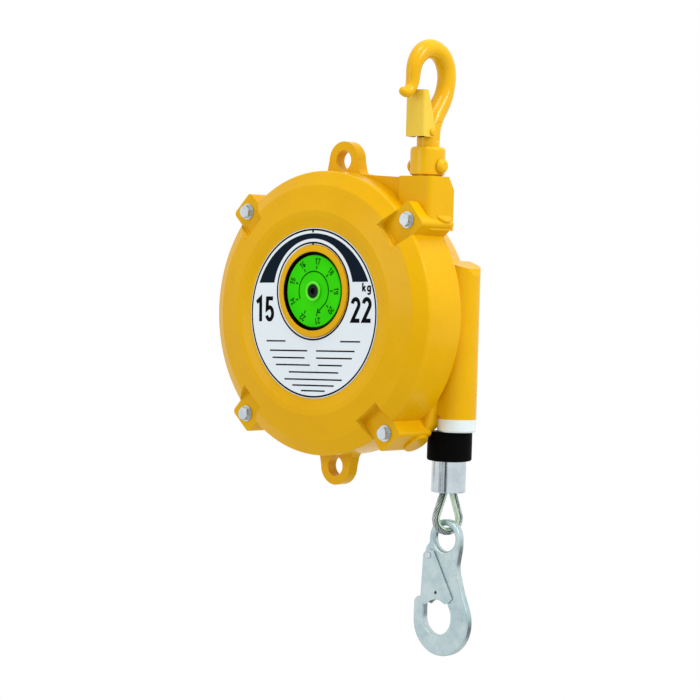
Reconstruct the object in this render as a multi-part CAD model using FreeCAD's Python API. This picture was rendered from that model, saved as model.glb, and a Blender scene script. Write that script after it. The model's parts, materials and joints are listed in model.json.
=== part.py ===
"""Spring tool balancer: cast housing, taper drum, wire rope, swivel safety hook and snap hook.

Everything is drawn in the housing frame: x to the right, y backwards from the label face,
z up, zero on the drum axis.  save() moves each piece so that the origin of the finished
part is the seat of the upper hook, the point that the whole balancer hangs from.
All lengths are millimetres, all angles are degrees.
"""
import FreeCAD, Part
import math
import os

V = FreeCAD.Vector
AXIS_X = V(1, 0, 0)
AXIS_Y = V(0, 1, 0)
AXIS_Z = V(0, 0, 1)

# ---- clearances -----------------------------------------------------------------------
RUN = 0.05                  # radial clearance of a shaft in its bore
FIT = 0.03                  # radial clearance of a part that is pushed in and stays
SEAT = 0.3                  # gap to soft or loosely resting neighbours
EPS = 1.0                   # overshoot of a cutting tool past the face that it opens

# ---- cast housing ---------------------------------------------------------------------
WALL = 4.5
RIM_R = 119.6                        # radius of the clamped rim
PART_Y = 16.8                        # parting plane between front cover and rear case
RIM_BACK_Y = 50.4                    # rear edge of the rim band
DRUM_HOUSE_R = RIM_R - 4.8           # drum housing just behind the rim band
DRUM_HOUSE_Y = RIM_BACK_Y + 2.1
DRUM_HOUSE_TAPER_R = RIM_R - 13.6    # drum housing where its back begins to round
DRUM_HOUSE_TAPER_Y = 76.0
BACK_R = RIM_R - 21.1
BACK_Y = 88.0

# ---- front cover ----------------------------------------------------------------------
LABEL_R = 71.4                       # radius of the recess for the rating plate
LABEL_T = 0.8
RIDGE_R = 86.0                       # raised ring round the label
RIDGE_Y = -2.5
CONE_R = RIM_R - 12.1                # outer end of the shallow cone
CONE_Y = 2.0
CORNER_Y = 9.2                       # where the bevel meets the rim
SPIGOT = 4.0                         # length that the cover reaches into the case
WINDOW_Z = 18.5                      # height of the dial axis over the drum axis
WINDOW_R = 33.0
WINDOW_RING_R = WINDOW_R + 5.6
WINDOW_RING_Y = -1.5

# ---- bolt ears ------------------------------------------------------------------------
EAR_ANGLES = (136.0, 227.0, 40.5, -52.0)
EAR_BOLT_R = RIM_R + 2.4             # distance of each bolt from the drum axis
EAR_END_R = EAR_BOLT_R + 10.5
EAR_IN_R = EAR_BOLT_R - 22.0         # inner end of the flat pad in the cover
EAR_HALF = 13.0
EAR_ROUND = 5.0                      # rounding of the ear's back edge
PAD_Y = 10.0
EAR_BACK_Y = RIM_BACK_Y + 4.1
BOLT_R = 3.0
BOLT_PLAY = 0.3                      # radial play of the bolts in cover and case
BOLT_LENGTH = 42.0
BOLT_AF = 10.0
BOLT_HEAD_T = 4.0
WASHER_R = 6.8
WASHER_T = 1.2
NUT_Y = 41.5                         # the barrel nuts lie across the bolts here
NUT_R = 11.0
NUT_IN_R = EAR_BOLT_R - 5.0
NUT_OUT_R = EAR_BOLT_R + 12.6
NUT_EDGE = 0.8

# ---- safety lugs ----------------------------------------------------------------------
LUG_Z = RIM_R + 9.9
LUG_R = 16.0
LUG_HOLE_R = 8.4
LUG_Y = 33.4
LUG_T = 10.5
LUG_FOOT_HALF = 23.0

# ---- hanger block and swivel ----------------------------------------------------------
HANG_X = RIM_R - 31.4                # axis of the upper hook
HANG_Y = 38.6
BLOCK_X0, BLOCK_X1 = HANG_X - 16.2, HANG_X + 17.3
BLOCK_Y0, BLOCK_Y1 = HANG_Y - 16.6, HANG_Y + 16.9
BLOCK_Z1 = RIM_R - 3.9
BLOCK_Z0 = BLOCK_Z1 - 44.1
BLOCK_EDGE = 4.0
WEB_Y0, WEB_T = LUG_Y - 6.0, LUG_T + 10.0
WEB_X = 18.0                         # the web leaves the rim here
POCKET_R = 13.5                      # pocket for the swivel nut, open at the back of the block
POCKET_TOP_Z = BLOCK_Z1 - 8.2
POCKET_H = 10.5
SWIVEL_NUT_R = 12.0
SWIVEL_NUT_T = 8.5
STEM_R = 8.0
THRUST_T = 1.2
SOCKET_R = 14.5
SOCKET_Z1 = BLOCK_Z1 + 24.3
SOCKET_FLOOR = 2.6
SHANK_R = 9.5
CROSS_PIN_Z = BLOCK_Z1 + 8.6
CROSS_PIN_R = 3.6
CROSS_HEAD_R = 5.9
CROSS_HEAD_H = 4.2

# ---- upper hook: (y from the shank axis, z over the block, section radius) -------------
SEAT_Z = BLOCK_Z1 + 96.8
HOOK_STATIONS = (
    (0.0, 28.3, 9.5), (1.2, 39.3, 9.3), (8.0, 52.3, 8.7), (17.2, 65.8, 8.1),
    (21.2, 81.3, 7.8), (16.2, 97.3, 8.0), (0.0, 104.8, 8.0), (-14.5, 98.8, 7.3),
    (-21.0, 87.3, 6.3), (-22.2, 76.8, 5.6), (-26.0, 69.3, 4.9), (-33.0, 67.8, 3.9),
)
NECK_Z0, NECK_Z1 = BLOCK_Z1 + 27.3, BLOCK_Z1 + 45.3       # flats of the neck for the latch
LATCH_HALF = 10.0                    # half width of the upper latch
LATCH_T = 1.3
LATCH_Y = -18.3                      # front face of its web, from the shank axis
LATCH_Z0, LATCH_Z1 = BLOCK_Z1 + 32.3, BLOCK_Z1 + 70.3
LATCH_PIN_Y = -7.4
LATCH_PIN_Z = BLOCK_Z1 + 35.8
LATCH_PIN_R = 1.7
LATCH_HEAD_R = 3.0
LATCH_HEAD_H = 1.9
LATCH_COIL_R, LATCH_COIL_HALF = 3.1, 2.8
WIRE_R = 0.6                         # spring wire of both latches

# ---- rope, drum and tube --------------------------------------------------------------
ROPE_R = 2.4
TUBE_X, TUBE_Y = RIM_R - 18.0, 70.0
ROPE_X = TUBE_X - 8.1                # drum pitch radius where the rope leaves at rest
ROPE_Y = TUBE_Y + 1.5
GROOVE_PITCH = 5.0
GROOVE_COUNT = 4
GROOVE_PLAY = 0.15
LAST_TURN = 320.0                    # part of the last groove that the rope still fills
DRUM_TAPER = 0.35                    # growth of the pitch radius per millimetre forwards
TUBE_R = 16.2
TUBE_BORE_R = 12.0
TUBE_BORE_Z1 = 22.0                  # upper end of the bore, inside the drum housing
TUBE_Z0, TUBE_Z1 = -84.3, 48.0
TUBE_SLOPE = 10.0                    # drop of the sloped shoulder on top of the tube
GUSSET_Z0, GUSSET_Z1 = -55.0, -50.0  # lower end of the tube's gusset at the housing and the tube
GUIDE_T = 10.7
GUIDE_SPIGOT = 18.0
GUIDE_EDGE = 1.2
MOUTH_R = 3.4
ROPE_WALK = GROOVE_PITCH * 2.4       # how far the rope walks along the drum
BUMPER_R = 18.75
BUMPER_T = 24.2
FERRULE_R = 14.5
FERRULE_H = 26.4
FERRULE_WALL = 3.0
CLAMP_R = 8.0
CLAMP_DEPTH = 7.0                    # the clamp ends this far up inside the ferrule
GUIDE_Z0 = TUBE_Z0 - GUIDE_T
BUMPER_Z1 = GUIDE_Z0 - SEAT
BUMPER_Z0 = BUMPER_Z1 - BUMPER_T
FERRULE_Z0 = BUMPER_Z0 - FERRULE_H
CLAMP_Z0 = FERRULE_Z0 + CLAMP_DEPTH
CLAMP_Z1 = BUMPER_Z0 - FERRULE_WALL

# ---- drive inside ---------------------------------------------------------------------
SHAFT_R = 8.0
SHAFT_Y0 = 20.0
SHAFT_HOLE_END = 2.0                 # metal left behind the shaft's hole
BOSS_R = 17.0
BOSS_Y = 76.3
DRUM_IN_R = ROPE_X - 7.5
DRUM_SKIN_R = ROPE_X - 2.5
DRUM_Y0, DRUM_Y1 = 36.0, 78.0
DRUM_WEB_Y, DRUM_WEB_T = 72.0, 3.5
DRUM_FLANGE_R = ROPE_X + 10.0
DRUM_FLANGE_T = 3.0
DRUM_LIP = 2.6
HUB_R = 16.0
HUB_Y = 66.0
BUSH_R = 10.5
LID_T = 3.0
LID_SCREWS = 8
LID_SCREW_R = 1.4
LID_HEAD_R, LID_HEAD_T = 2.4, 1.6
ARBOR_R = 15.0
ARBOR_NECK_R = 12.0
ARBOR_PINION_R = 4.0
ARBOR_TIP_R = 3.0
ARBOR_FRONT_Y = 15.0
ARBOR_Y1 = 65.5
SPRING_T = 1.8
SPRING_TURNS = 6
SPRING_Y0, SPRING_Y1 = 38.0, 64.0
SPRING_START = 2.5                   # the innermost coil's distance from the arbor
WORM_Y = 23.6
WORM_Z = -46.0
WORM_TIP_R = 8.2
WORM_SHOULDER_R = 6.95
WORM_SHAFT_R = 4.95
WORM_NOTCH_PLAY = 0.5                # radial play of the key end in the rim
WORM_END_X = -(RIM_R - 8.6)
WORM_NOTCH_X = -(RIM_R - 29.6)       # inner end of the notch for it
WORM_HALF = 15.0
KEY_AF, KEY_DEPTH = 6.0, 8.0
POST_X = 18.0                        # inner face of the two worm posts
POST_T = 8.0
POST_HALF = 9.0
WORM_BUSH_T = 1.5
WHEEL_T = 8.0
WHEEL_WEB = 4.0                      # the wheel's web is thinner than its rim by this much
GEAR_MODULE = 1.0
PINION_TEETH = 12
DIAL_TEETH = 25
GEAR_Y0, GEAR_Y1 = 7.4, 11.0
DIAL_R = 30.2
DIAL_Y = 0.4
DIAL_T = 3.0
DIAL_COLLAR_R, DIAL_COLLAR_H = 8.1, 1.2
DIAL_BACK_R = 9.0
DIAL_HUB_R = 6.0
DIAL_SCREW_R = 2.5
DIAL_HEAD_R = 5.9
DIAL_RECESS = 2.0
DIAL_NUT_AF, DIAL_NUT_T = 15.0, 2.5
PLATE_Y = 5.3
PLATE_T = 2.0
PLATE_R = 37.0

# ---- load end: outlines are (x, z, corner radius) from the centre of the hook's eye ----
LOOP_ANGLE = 64.0                    # direction of the rope eye, from +x towards +y
LOOP_R = 11.6                        # centre line radius of the eye's round end
THIMBLE_T = 1.3
THIMBLE_PLAY = 0.1
EYE_Z = FERRULE_Z0 - 38.9
EYE_HOLE_R = 10.8
EYE_R = 16.0
LOAD_T = 6.5
EYE_PLAY = 2.0                       # room between thimble and eye
EYE_TOP_HALF = 2.6                   # half spacing of the rope legs where they leave the clamp
EYE_ROUND = 2.2
EDGE_ROUND = 1.0
THIMBLE_IN_Z = EYE_Z + EYE_HOLE_R - EYE_PLAY
LOOP_Z = THIMBLE_IN_Z - THIMBLE_T - THIMBLE_PLAY - ROPE_R + LOOP_R      # centre of the round end
THIMBLE_SIDE = ((-0.65, 2.2), (0.8, 3.2), (3.3, 3.5), (3.3, 2.6), (1.6, 2.3), (0.65, 1.2))
LOOP_TUCK = 0.85                     # the loop's legs end this far under the clamp's face
CHEEK_T = 1.2
CHEEK_GAP = 0.15
LOAD_PIVOT = (-15.7, -15.3)
LOAD_PIVOT_R = 1.9
RIVET_HEAD_R, RIVET_HEAD_H = 2.7, 1.1
BOWL_X, BOWL_Z, BOWL_R = -2.2, -69.6, 29.3          # outer curve of the snap hook's bowl
THROAT_X, THROAT_Z, THROAT_R = -6.2, -66.9, 14.75   # its inner curve
TIP_Z = -49.8
SHANK_BACK = ((16.0, -7.0, 30.0), (13.0, -24.0, 25.0), (18.5, -42.0, 40.0), (27.1, -63.0, 28.0))
SHANK_FRONT = ((8.55, -62.0, 12.0), (-12.5, -21.5, 3.0), (-20.3, -20.5, 4.0), (-20.3, -9.5, 4.0))
CHEEK_OUTLINE = ((-21.3, -14.3, 4.0), (-23.4, -55.0, 1.5), (-16.0, -57.5), (-4.0, -57.0), (7.0, -53.5),
                 (11.0, -49.4, 1.0), (-10.3, -11.1, 3.0), (-16.7, -9.8, 3.0))
CHEEK_HOLE = (-6.9, -45.9, 1.5)
CHEEK_RELIEF = 0.4                   # the cheeks stay this far outside the throat
SLOT_HALF = 1.6                      # room in the hook for the latch's spring
SLOT_X = (-22.7, -10.9)
SLOT_Z = (-22.3, -10.9)
CHEEK_WEB_T = 1.4
CHEEK_WEB_Z = (-54.0, -25.0)
LOAD_COIL_R, LOAD_COIL_HALF = 3.4, 1.3
LOAD_LEG_Z = -36.0


# ======================================================================================
# helpers
# ======================================================================================
def save(name, shape):
    """Write one piece, moved into the frame whose origin is the upper hook's seat."""
    placed = shape.copy()
    placed.translate(V(-HANG_X, -HANG_Y, -SEAT_Z))
    placed.exportStep("parts/%s.step" % name)


def rounded_wire(points, place):
    """Closed wire of straight runs; a point (u, v, radius) has its corner rounded."""
    corners = []
    count = len(points)
    for i, point in enumerate(points):
        here = V(point[0], point[1], 0)
        radius = point[2] if len(point) > 2 else 0
        if not radius:
            corners.append((here, None, here))
            continue
        before = V(points[i - 1][0], points[i - 1][1], 0) - here
        after = V(points[(i + 1) % count][0], points[(i + 1) % count][1], 0) - here
        before.normalize()
        after.normalize()
        half = before.getAngle(after) / 2
        middle = before + after
        middle.normalize()
        reach = radius / math.tan(half)
        apex = here + middle * (radius / math.sin(half) - radius)
        corners.append((here + before * reach, apex, here + after * reach))
    edges = []
    for i, (start, apex, end) in enumerate(corners):
        last = corners[i - 1][2]
        if (start - last).Length > 1e-6:
            edges.append(Part.makeLine(place(last), place(start)))
        if apex:
            edges.append(Part.Arc(place(start), place(apex), place(end)).toShape())
    return Part.Wire(edges)


def turned_y(points, x=0.0, z=0.0):
    """Solid of revolution about an axis along y; points are (radius, y)."""
    wire = rounded_wire(points, lambda p: V(p.x, p.y, 0))
    solid = Part.Face(wire).revolve(V(0, 0, 0), AXIS_Y, 360)
    solid.translate(V(x, 0, z))
    return solid


def turned_z(points, x=0.0, y=0.0):
    """Solid of revolution about a vertical axis; points are (radius, z)."""
    wire = rounded_wire(points, lambda p: V(p.x, 0, p.y))
    solid = Part.Face(wire).revolve(V(0, 0, 0), AXIS_Z, 360)
    solid.translate(V(x, y, 0))
    return solid


def turned_x(points, y=0.0, z=0.0):
    """Solid of revolution about an axis along x; points are (x, radius)."""
    wire = rounded_wire(points, lambda p: V(p.x, p.y, 0))
    solid = Part.Face(wire).revolve(V(0, 0, 0), AXIS_X, 360)
    solid.translate(V(0, y, z))
    return solid


def plate_y(points, y0, thickness):
    """Outline in the front view, points (x, z), given a thickness backwards from y0."""
    wire = rounded_wire(points, lambda p: V(p.x, y0, p.y))
    return Part.Face(wire).extrude(V(0, thickness, 0))


def plate_x(points, x0, thickness):
    """Outline in the side view, points (y, z), given a thickness along +x from x0."""
    wire = rounded_wire(points, lambda p: V(x0, p.x, p.y))
    return Part.Face(wire).extrude(V(thickness, 0, 0))


def rod(radius, start, end):
    """Round bar between two points."""
    return Part.makeCylinder(radius, (end - start).Length, start, end - start)


def block(x0, x1, y0, y1, z0, z1):
    """Box between two opposite corners."""
    return Part.makeBox(x1 - x0, y1 - y0, z1 - z0, V(x0, y0, z0))


def hex_bar(flats, y0, y1):
    """Hexagonal bar along y on the y axis."""
    reach = flats / math.sqrt(3)
    points = [(reach * math.cos(math.radians(60 * k)), reach * math.sin(math.radians(60 * k)))
              for k in range(6)]
    return plate_y(points, y0, y1 - y0)


def joined(shapes):
    """One solid from touching shapes, with the seams between them removed."""
    return shapes[0].fuse(shapes[1:]).removeSplitter()


def at_ears(make):
    """Copies of a piece that is drawn for an ear at angle zero, one on each ear."""
    copies = []
    for angle in EAR_ANGLES:
        piece = make()
        piece.rotate(V(0, 0, 0), AXIS_Y, -angle)
        copies.append(piece)
    return copies


def spur_gear(teeth, first_angle, bore, y0, y1, z):
    """Spur gear about an axis along y, with straight-sided teeth and running backlash."""
    pitch = GEAR_MODULE * teeth / 2
    sizes = ((pitch - 1.15 * GEAR_MODULE, 0.34), (pitch, 0.225), (pitch + 0.8 * GEAR_MODULE, 0.12))
    points = []
    for k in range(teeth):
        centre = first_angle + 360.0 * k / teeth
        left = [(radius, centre - 360.0 * share / teeth) for radius, share in sizes]
        right = [(radius, centre + 360.0 * share / teeth) for radius, share in reversed(sizes)]
        points += [(radius * math.cos(math.radians(a)), radius * math.sin(math.radians(a)))
                   for radius, a in left + right]
    gear = plate_y(points, y0, y1 - y0)
    gear.translate(V(0, 0, z))
    return gear.cut(rod(bore, V(0, y0 - EPS, z), V(0, y1 + EPS, z)))


# ======================================================================================
# housing
# ======================================================================================
def house_profile(inset):
    """Outline of the drum housing behind the rim; inset moves it inwards by the wall."""
    return [
        (RIM_R - inset, RIM_BACK_Y - inset, 4 if not inset else 2),
        (DRUM_HOUSE_R - inset, DRUM_HOUSE_Y - inset / 2, 2),
        (DRUM_HOUSE_TAPER_R - inset, DRUM_HOUSE_TAPER_Y, 8),
        (BACK_R - inset, BACK_Y - inset, 6),
        (0, BACK_Y - inset),
    ]


def ear_outline(y0, y1, r0, back_round):
    """Bolt ear at angle zero: a bar from r0 outwards, rounded at its outer corners."""
    bar = plate_y([(r0, -EAR_HALF), (EAR_END_R, -EAR_HALF, 3.5), (EAR_END_R, EAR_HALF, 3.5),
                   (r0, EAR_HALF)], y0, y1 - y0)
    if back_round:
        rim = [e for e in bar.Edges if all(abs(v.Y - y1) < 1e-6 for v in e.Vertexes)
               and e.CenterOfMass.x > r0 + EPS]
        bar = bar.makeFillet(back_round, rim)
    return bar


def lug(sign):
    """Safety lug above (sign 1) or below (sign -1) the rim, without its hole."""
    eye = rod(LUG_R, V(0, LUG_Y, sign * LUG_Z), V(0, LUG_Y + LUG_T, sign * LUG_Z))
    root_z = RIM_R - WALL - 1
    foot = plate_y([(-LUG_FOOT_HALF, sign * root_z), (LUG_FOOT_HALF, sign * root_z),
                    (LUG_R + 2, sign * (RIM_R + 1), 6), (LUG_R, sign * LUG_Z),
                    (-LUG_R, sign * LUG_Z), (-LUG_R - 2, sign * (RIM_R + 1), 6)], LUG_Y, LUG_T)
    return joined([eye, foot])


def rope_tube():
    """Tube boss beside the drum with its web to the housing, without its bore."""
    tube = rod(TUBE_R, V(TUBE_X, TUBE_Y, TUBE_Z0), V(TUBE_X, TUBE_Y, TUBE_Z1))
    inner_x = TUBE_X - 2 * TUBE_R
    web = block(inner_x, TUBE_X, TUBE_Y - TUBE_R, TUBE_Y + TUBE_R, TUBE_Z0 + TUBE_R, TUBE_Z1)
    gusset = plate_y([(inner_x - 10, GUSSET_Z0), (inner_x, TUBE_Z0 + TUBE_R), (TUBE_X, TUBE_Z0),
                      (TUBE_X, GUSSET_Z1)], TUBE_Y - TUBE_R, 2 * TUBE_R)
    shape = joined([tube, web, gusset])
    outer_x = TUBE_X + TUBE_R
    shoulder = plate_y([(inner_x - EPS, TUBE_Z1 + EPS), (inner_x - EPS, TUBE_Z1),
                        (TUBE_X - 4, TUBE_Z1 - 1), (outer_x - 2, TUBE_Z1 - TUBE_SLOPE + 3),
                        (outer_x + EPS, TUBE_Z1 - TUBE_SLOPE - 6), (outer_x + EPS, TUBE_Z1 + EPS)],
                       TUBE_Y - TUBE_R - EPS, 2 * TUBE_R + 2 * EPS)
    return shape.cut(shoulder)


def hanger_block():
    """Block that carries the swivel, with the web that ties it to the top of the rim."""
    wire = rounded_wire([(BLOCK_X0, BLOCK_Y0), (BLOCK_X1, BLOCK_Y0, BLOCK_EDGE),
                         (BLOCK_X1, BLOCK_Y1, BLOCK_EDGE), (BLOCK_X0, BLOCK_Y1)],
                        lambda p: V(p.x, p.y, BLOCK_Z0))
    block_shape = Part.Face(wire).extrude(V(0, 0, BLOCK_Z1 - BLOCK_Z0))
    corner = plate_x([(BLOCK_Y1 - 9, BLOCK_Z1 + EPS), (BLOCK_Y1 - 9, BLOCK_Z1 - 1),
                      (BLOCK_Y1, BLOCK_Z1 - 14), (BLOCK_Y1 + EPS, BLOCK_Z1 - 14),
                      (BLOCK_Y1 + EPS, BLOCK_Z1 + EPS)], BLOCK_X0 - EPS,
                     BLOCK_X1 - BLOCK_X0 + 2 * EPS)
    web = plate_y([(WEB_X, RIM_R - 2), (BLOCK_X0 + EPS, BLOCK_Z1 - 1), (BLOCK_X0 + EPS, BLOCK_Z0 + 8.4),
                   (WEB_X + 12, RIM_R - 19.6)], WEB_Y0, WEB_T)
    return joined([block_shape.cut(corner), web])


def case_cavity():
    """Room inside the rear case, with the rope tube's bore."""
    inner = turned_y([(0, PART_Y - EPS), (RIM_R - WALL, PART_Y - EPS)] + house_profile(WALL))
    boss = rod(BOSS_R, V(0, BOSS_Y, 0), V(0, BACK_Y, 0))
    bore = rod(TUBE_BORE_R, V(TUBE_X, TUBE_Y, TUBE_Z0 - EPS), V(TUBE_X, TUBE_Y, TUBE_BORE_Z1))
    return inner.cut(boss).fuse([bore, rope_slot(TUBE_Z0 - EPS, TUBE_BORE_Z1, MOUTH_R + 1.5)])


def rope_slot(z0, z1, radius):
    """Slot that the rope sweeps as it walks along the drum, rounded at both ends."""
    end_x, end_y = ROPE_X + DRUM_TAPER * ROPE_WALK, ROPE_Y - ROPE_WALK
    first = rod(radius, V(ROPE_X, ROPE_Y, z0), V(ROPE_X, ROPE_Y, z1))
    last = rod(radius, V(end_x, end_y, z0), V(end_x, end_y, z1))
    along = V(end_x - ROPE_X, end_y - ROPE_Y, 0)
    side = V(-along.y, along.x, 0)
    side.normalize()
    side = side * radius
    corner = V(ROPE_X, ROPE_Y, z0)
    ring = [corner + side, corner + along + side, corner + along - side, corner - side]
    middle = Part.Face(Part.makePolygon(ring + ring[:1])).extrude(V(0, 0, z1 - z0))
    return joined([first, middle, last])


def rear_case():
    """Cast case: rim band, drum housing, bolt ears, lugs, hanger block and rope tube."""
    shell = turned_y([(0, PART_Y), (RIM_R, PART_Y)] + house_profile(0))
    ears = at_ears(lambda: ear_outline(PART_Y, EAR_BACK_Y, EAR_IN_R, EAR_ROUND))
    case = joined([shell, lug(1), lug(-1), rope_tube(), hanger_block()] + ears)
    tools = [case_cavity()]
    for sign in (1, -1):
        tools.append(rod(LUG_HOLE_R, V(0, LUG_Y - EPS, sign * LUG_Z),
                         V(0, LUG_Y + LUG_T + EPS, sign * LUG_Z)))
    tools.append(rod(STEM_R + RUN, V(HANG_X, HANG_Y, POCKET_TOP_Z - EPS),
                     V(HANG_X, HANG_Y, BLOCK_Z1 + EPS)))
    pocket_z = POCKET_TOP_Z - POCKET_H
    tools.append(rod(POCKET_R, V(HANG_X, HANG_Y, pocket_z), V(HANG_X, HANG_Y, POCKET_TOP_Z)))
    tools.append(block(HANG_X - POCKET_R, HANG_X + POCKET_R, HANG_Y, BLOCK_Y1 + EPS,
                       pocket_z, POCKET_TOP_Z))
    tools.append(rod(SHAFT_R + FIT, V(0, BOSS_Y - EPS, 0), V(0, BACK_Y - SHAFT_HOLE_END, 0)))
    tools.append(worm_notch())
    tools += at_ears(lambda: rod(BOLT_R + BOLT_PLAY, V(EAR_BOLT_R, PART_Y - EPS, 0),
                                 V(EAR_BOLT_R, NUT_Y + NUT_R + 3, 0)))
    tools += at_ears(lambda: rod(NUT_R + FIT, V(NUT_IN_R, NUT_Y, 0), V(NUT_OUT_R, NUT_Y, 0)))
    return case.cut(tools)


def worm_notch():
    """Room for the worm's key end where it passes through the rim."""
    return rod(WORM_SHAFT_R + WORM_NOTCH_PLAY, V(-RIM_R - EPS, WORM_Y, WORM_Z),
               V(WORM_NOTCH_X, WORM_Y, WORM_Z))


def front_cover():
    """Domed cover with label recess, dial window, bolt pads and the two worm posts."""
    skin = turned_y([
        (0, LABEL_T), (LABEL_R + 0.3, LABEL_T), (LABEL_R + 0.3, 0, 0.2), (LABEL_R + 2.5, -0.2, 1.5),
        (RIDGE_R - 5, RIDGE_Y + 0.5, 4), (RIDGE_R, RIDGE_Y, 3), (CONE_R, CONE_Y, 4),
        (RIM_R, CORNER_Y, 3), (RIM_R, PART_Y), (RIM_R - WALL - FIT, PART_Y),
        (RIM_R - WALL - FIT, PART_Y + SPIGOT), (RIM_R - 2 * WALL, PART_Y + SPIGOT),
        (RIM_R - 2 * WALL, CORNER_Y + WALL, 3), (CONE_R - 2, CONE_Y + WALL + 1, 4),
        (RIDGE_R, RIDGE_Y + WALL, 4), (LABEL_R - 2, PLATE_Y, 3), (0, PLATE_Y)])
    ring = turned_y([(WINDOW_R, WINDOW_RING_Y, 0.8), (WINDOW_RING_R, WINDOW_RING_Y, 0.8),
                     (WINDOW_RING_R, PLATE_Y), (WINDOW_R, PLATE_Y)], 0, WINDOW_Z)
    pads = at_ears(lambda: ear_outline(PAD_Y, PART_Y, EAR_IN_R - 3, 0))
    posts = [block(x, x + POST_T, PLATE_Y - EPS, WORM_Y + POST_HALF - 1.5,
                   WORM_Z - POST_HALF, WORM_Z + POST_HALF) for x in (-POST_X - POST_T, POST_X)]
    cover = joined([skin, ring] + pads + posts)
    pocket = at_ears(lambda: block(EAR_IN_R, EAR_END_R + EPS, RIDGE_Y - EPS, PAD_Y, -EAR_HALF, EAR_HALF))
    holes = at_ears(lambda: rod(BOLT_R + BOLT_PLAY, V(EAR_BOLT_R, PAD_Y - EPS, 0),
                                V(EAR_BOLT_R, PART_Y + EPS, 0)))
    window = rod(WINDOW_R, V(0, RIDGE_Y - EPS, WINDOW_Z), V(0, PLATE_Y + EPS, WINDOW_Z))
    worm_bore = rod(WORM_SHAFT_R + RUN + WORM_BUSH_T + FIT, V(-POST_X - POST_T - EPS, WORM_Y, WORM_Z),
                    V(POST_X + POST_T + EPS, WORM_Y, WORM_Z))
    return cover.cut(pocket + holes + [window, worm_bore, worm_notch()])


def fasteners():
    """Hex bolts, washers and barrel nuts of the four ears."""
    seat_y = PAD_Y - WASHER_T

    def bolt():
        head = hex_bar(BOLT_AF, seat_y - BOLT_HEAD_T, seat_y)
        crown = turned_y([(0, seat_y - BOLT_HEAD_T), (BOLT_AF / 2 - 0.3, seat_y - BOLT_HEAD_T),
                          (BOLT_AF / 2 + 1.2, seat_y - BOLT_HEAD_T + 0.9),
                          (BOLT_AF / 2 + 1.2, seat_y), (0, seat_y)])
        shank = rod(BOLT_R, V(0, seat_y, 0), V(0, seat_y + BOLT_LENGTH, 0))
        piece = joined([head.common(crown), shank])
        piece.translate(V(EAR_BOLT_R, 0, 0))
        return piece

    def washer():
        ring = rod(WASHER_R, V(EAR_BOLT_R, seat_y, 0), V(EAR_BOLT_R, PAD_Y, 0))
        return ring.cut(rod(BOLT_R + 0.2, V(EAR_BOLT_R, 0, 0), V(EAR_BOLT_R, PART_Y, 0)))

    def barrel_nut():
        nut = turned_x([(NUT_IN_R + FIT, 0), (NUT_IN_R + FIT, NUT_R), (NUT_OUT_R - NUT_EDGE, NUT_R),
                        (NUT_OUT_R, NUT_R - NUT_EDGE), (NUT_OUT_R, 0)], NUT_Y, 0)
        return nut.cut(rod(BOLT_R + FIT, V(EAR_BOLT_R, 0, 0), V(EAR_BOLT_R, BACK_Y, 0)))

    save("cover_bolts", Part.makeCompound(at_ears(bolt)))
    save("bolt_washers", Part.makeCompound(at_ears(washer)))
    save("barrel_nuts", Part.makeCompound(at_ears(barrel_nut)))


def rating_plate():
    """Thin round plate in the label recess, open round the dial window."""
    disc = rod(LABEL_R, V(0, 0, 0), V(0, LABEL_T, 0))
    return disc.cut(rod(WINDOW_RING_R + 0.6, V(0, -EPS, WINDOW_Z), V(0, PLATE_Y, WINDOW_Z)))


# ======================================================================================
# swivel and upper hook
# ======================================================================================
def hook_socket():
    """Cup for the hook shank with the stem that turns in the hanger block."""
    base_z = BLOCK_Z1 + THRUST_T
    cup = turned_z([(0, base_z), (SOCKET_R, base_z, 0.8), (SOCKET_R, SOCKET_Z1, 3),
                    (SHANK_R + FIT, SOCKET_Z1), (SHANK_R + FIT, base_z + SOCKET_FLOOR),
                    (0, base_z + SOCKET_FLOOR)], HANG_X, HANG_Y)
    stem = rod(STEM_R, V(HANG_X, HANG_Y, POCKET_TOP_Z - POCKET_H + 0.3), V(HANG_X, HANG_Y, base_z))
    pin_hole = rod(CROSS_PIN_R + FIT, V(HANG_X - 2 * SOCKET_R, HANG_Y, CROSS_PIN_Z),
                   V(HANG_X + 2 * SOCKET_R, HANG_Y, CROSS_PIN_Z))
    return joined([cup, stem]).cut(pin_hole)


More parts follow.
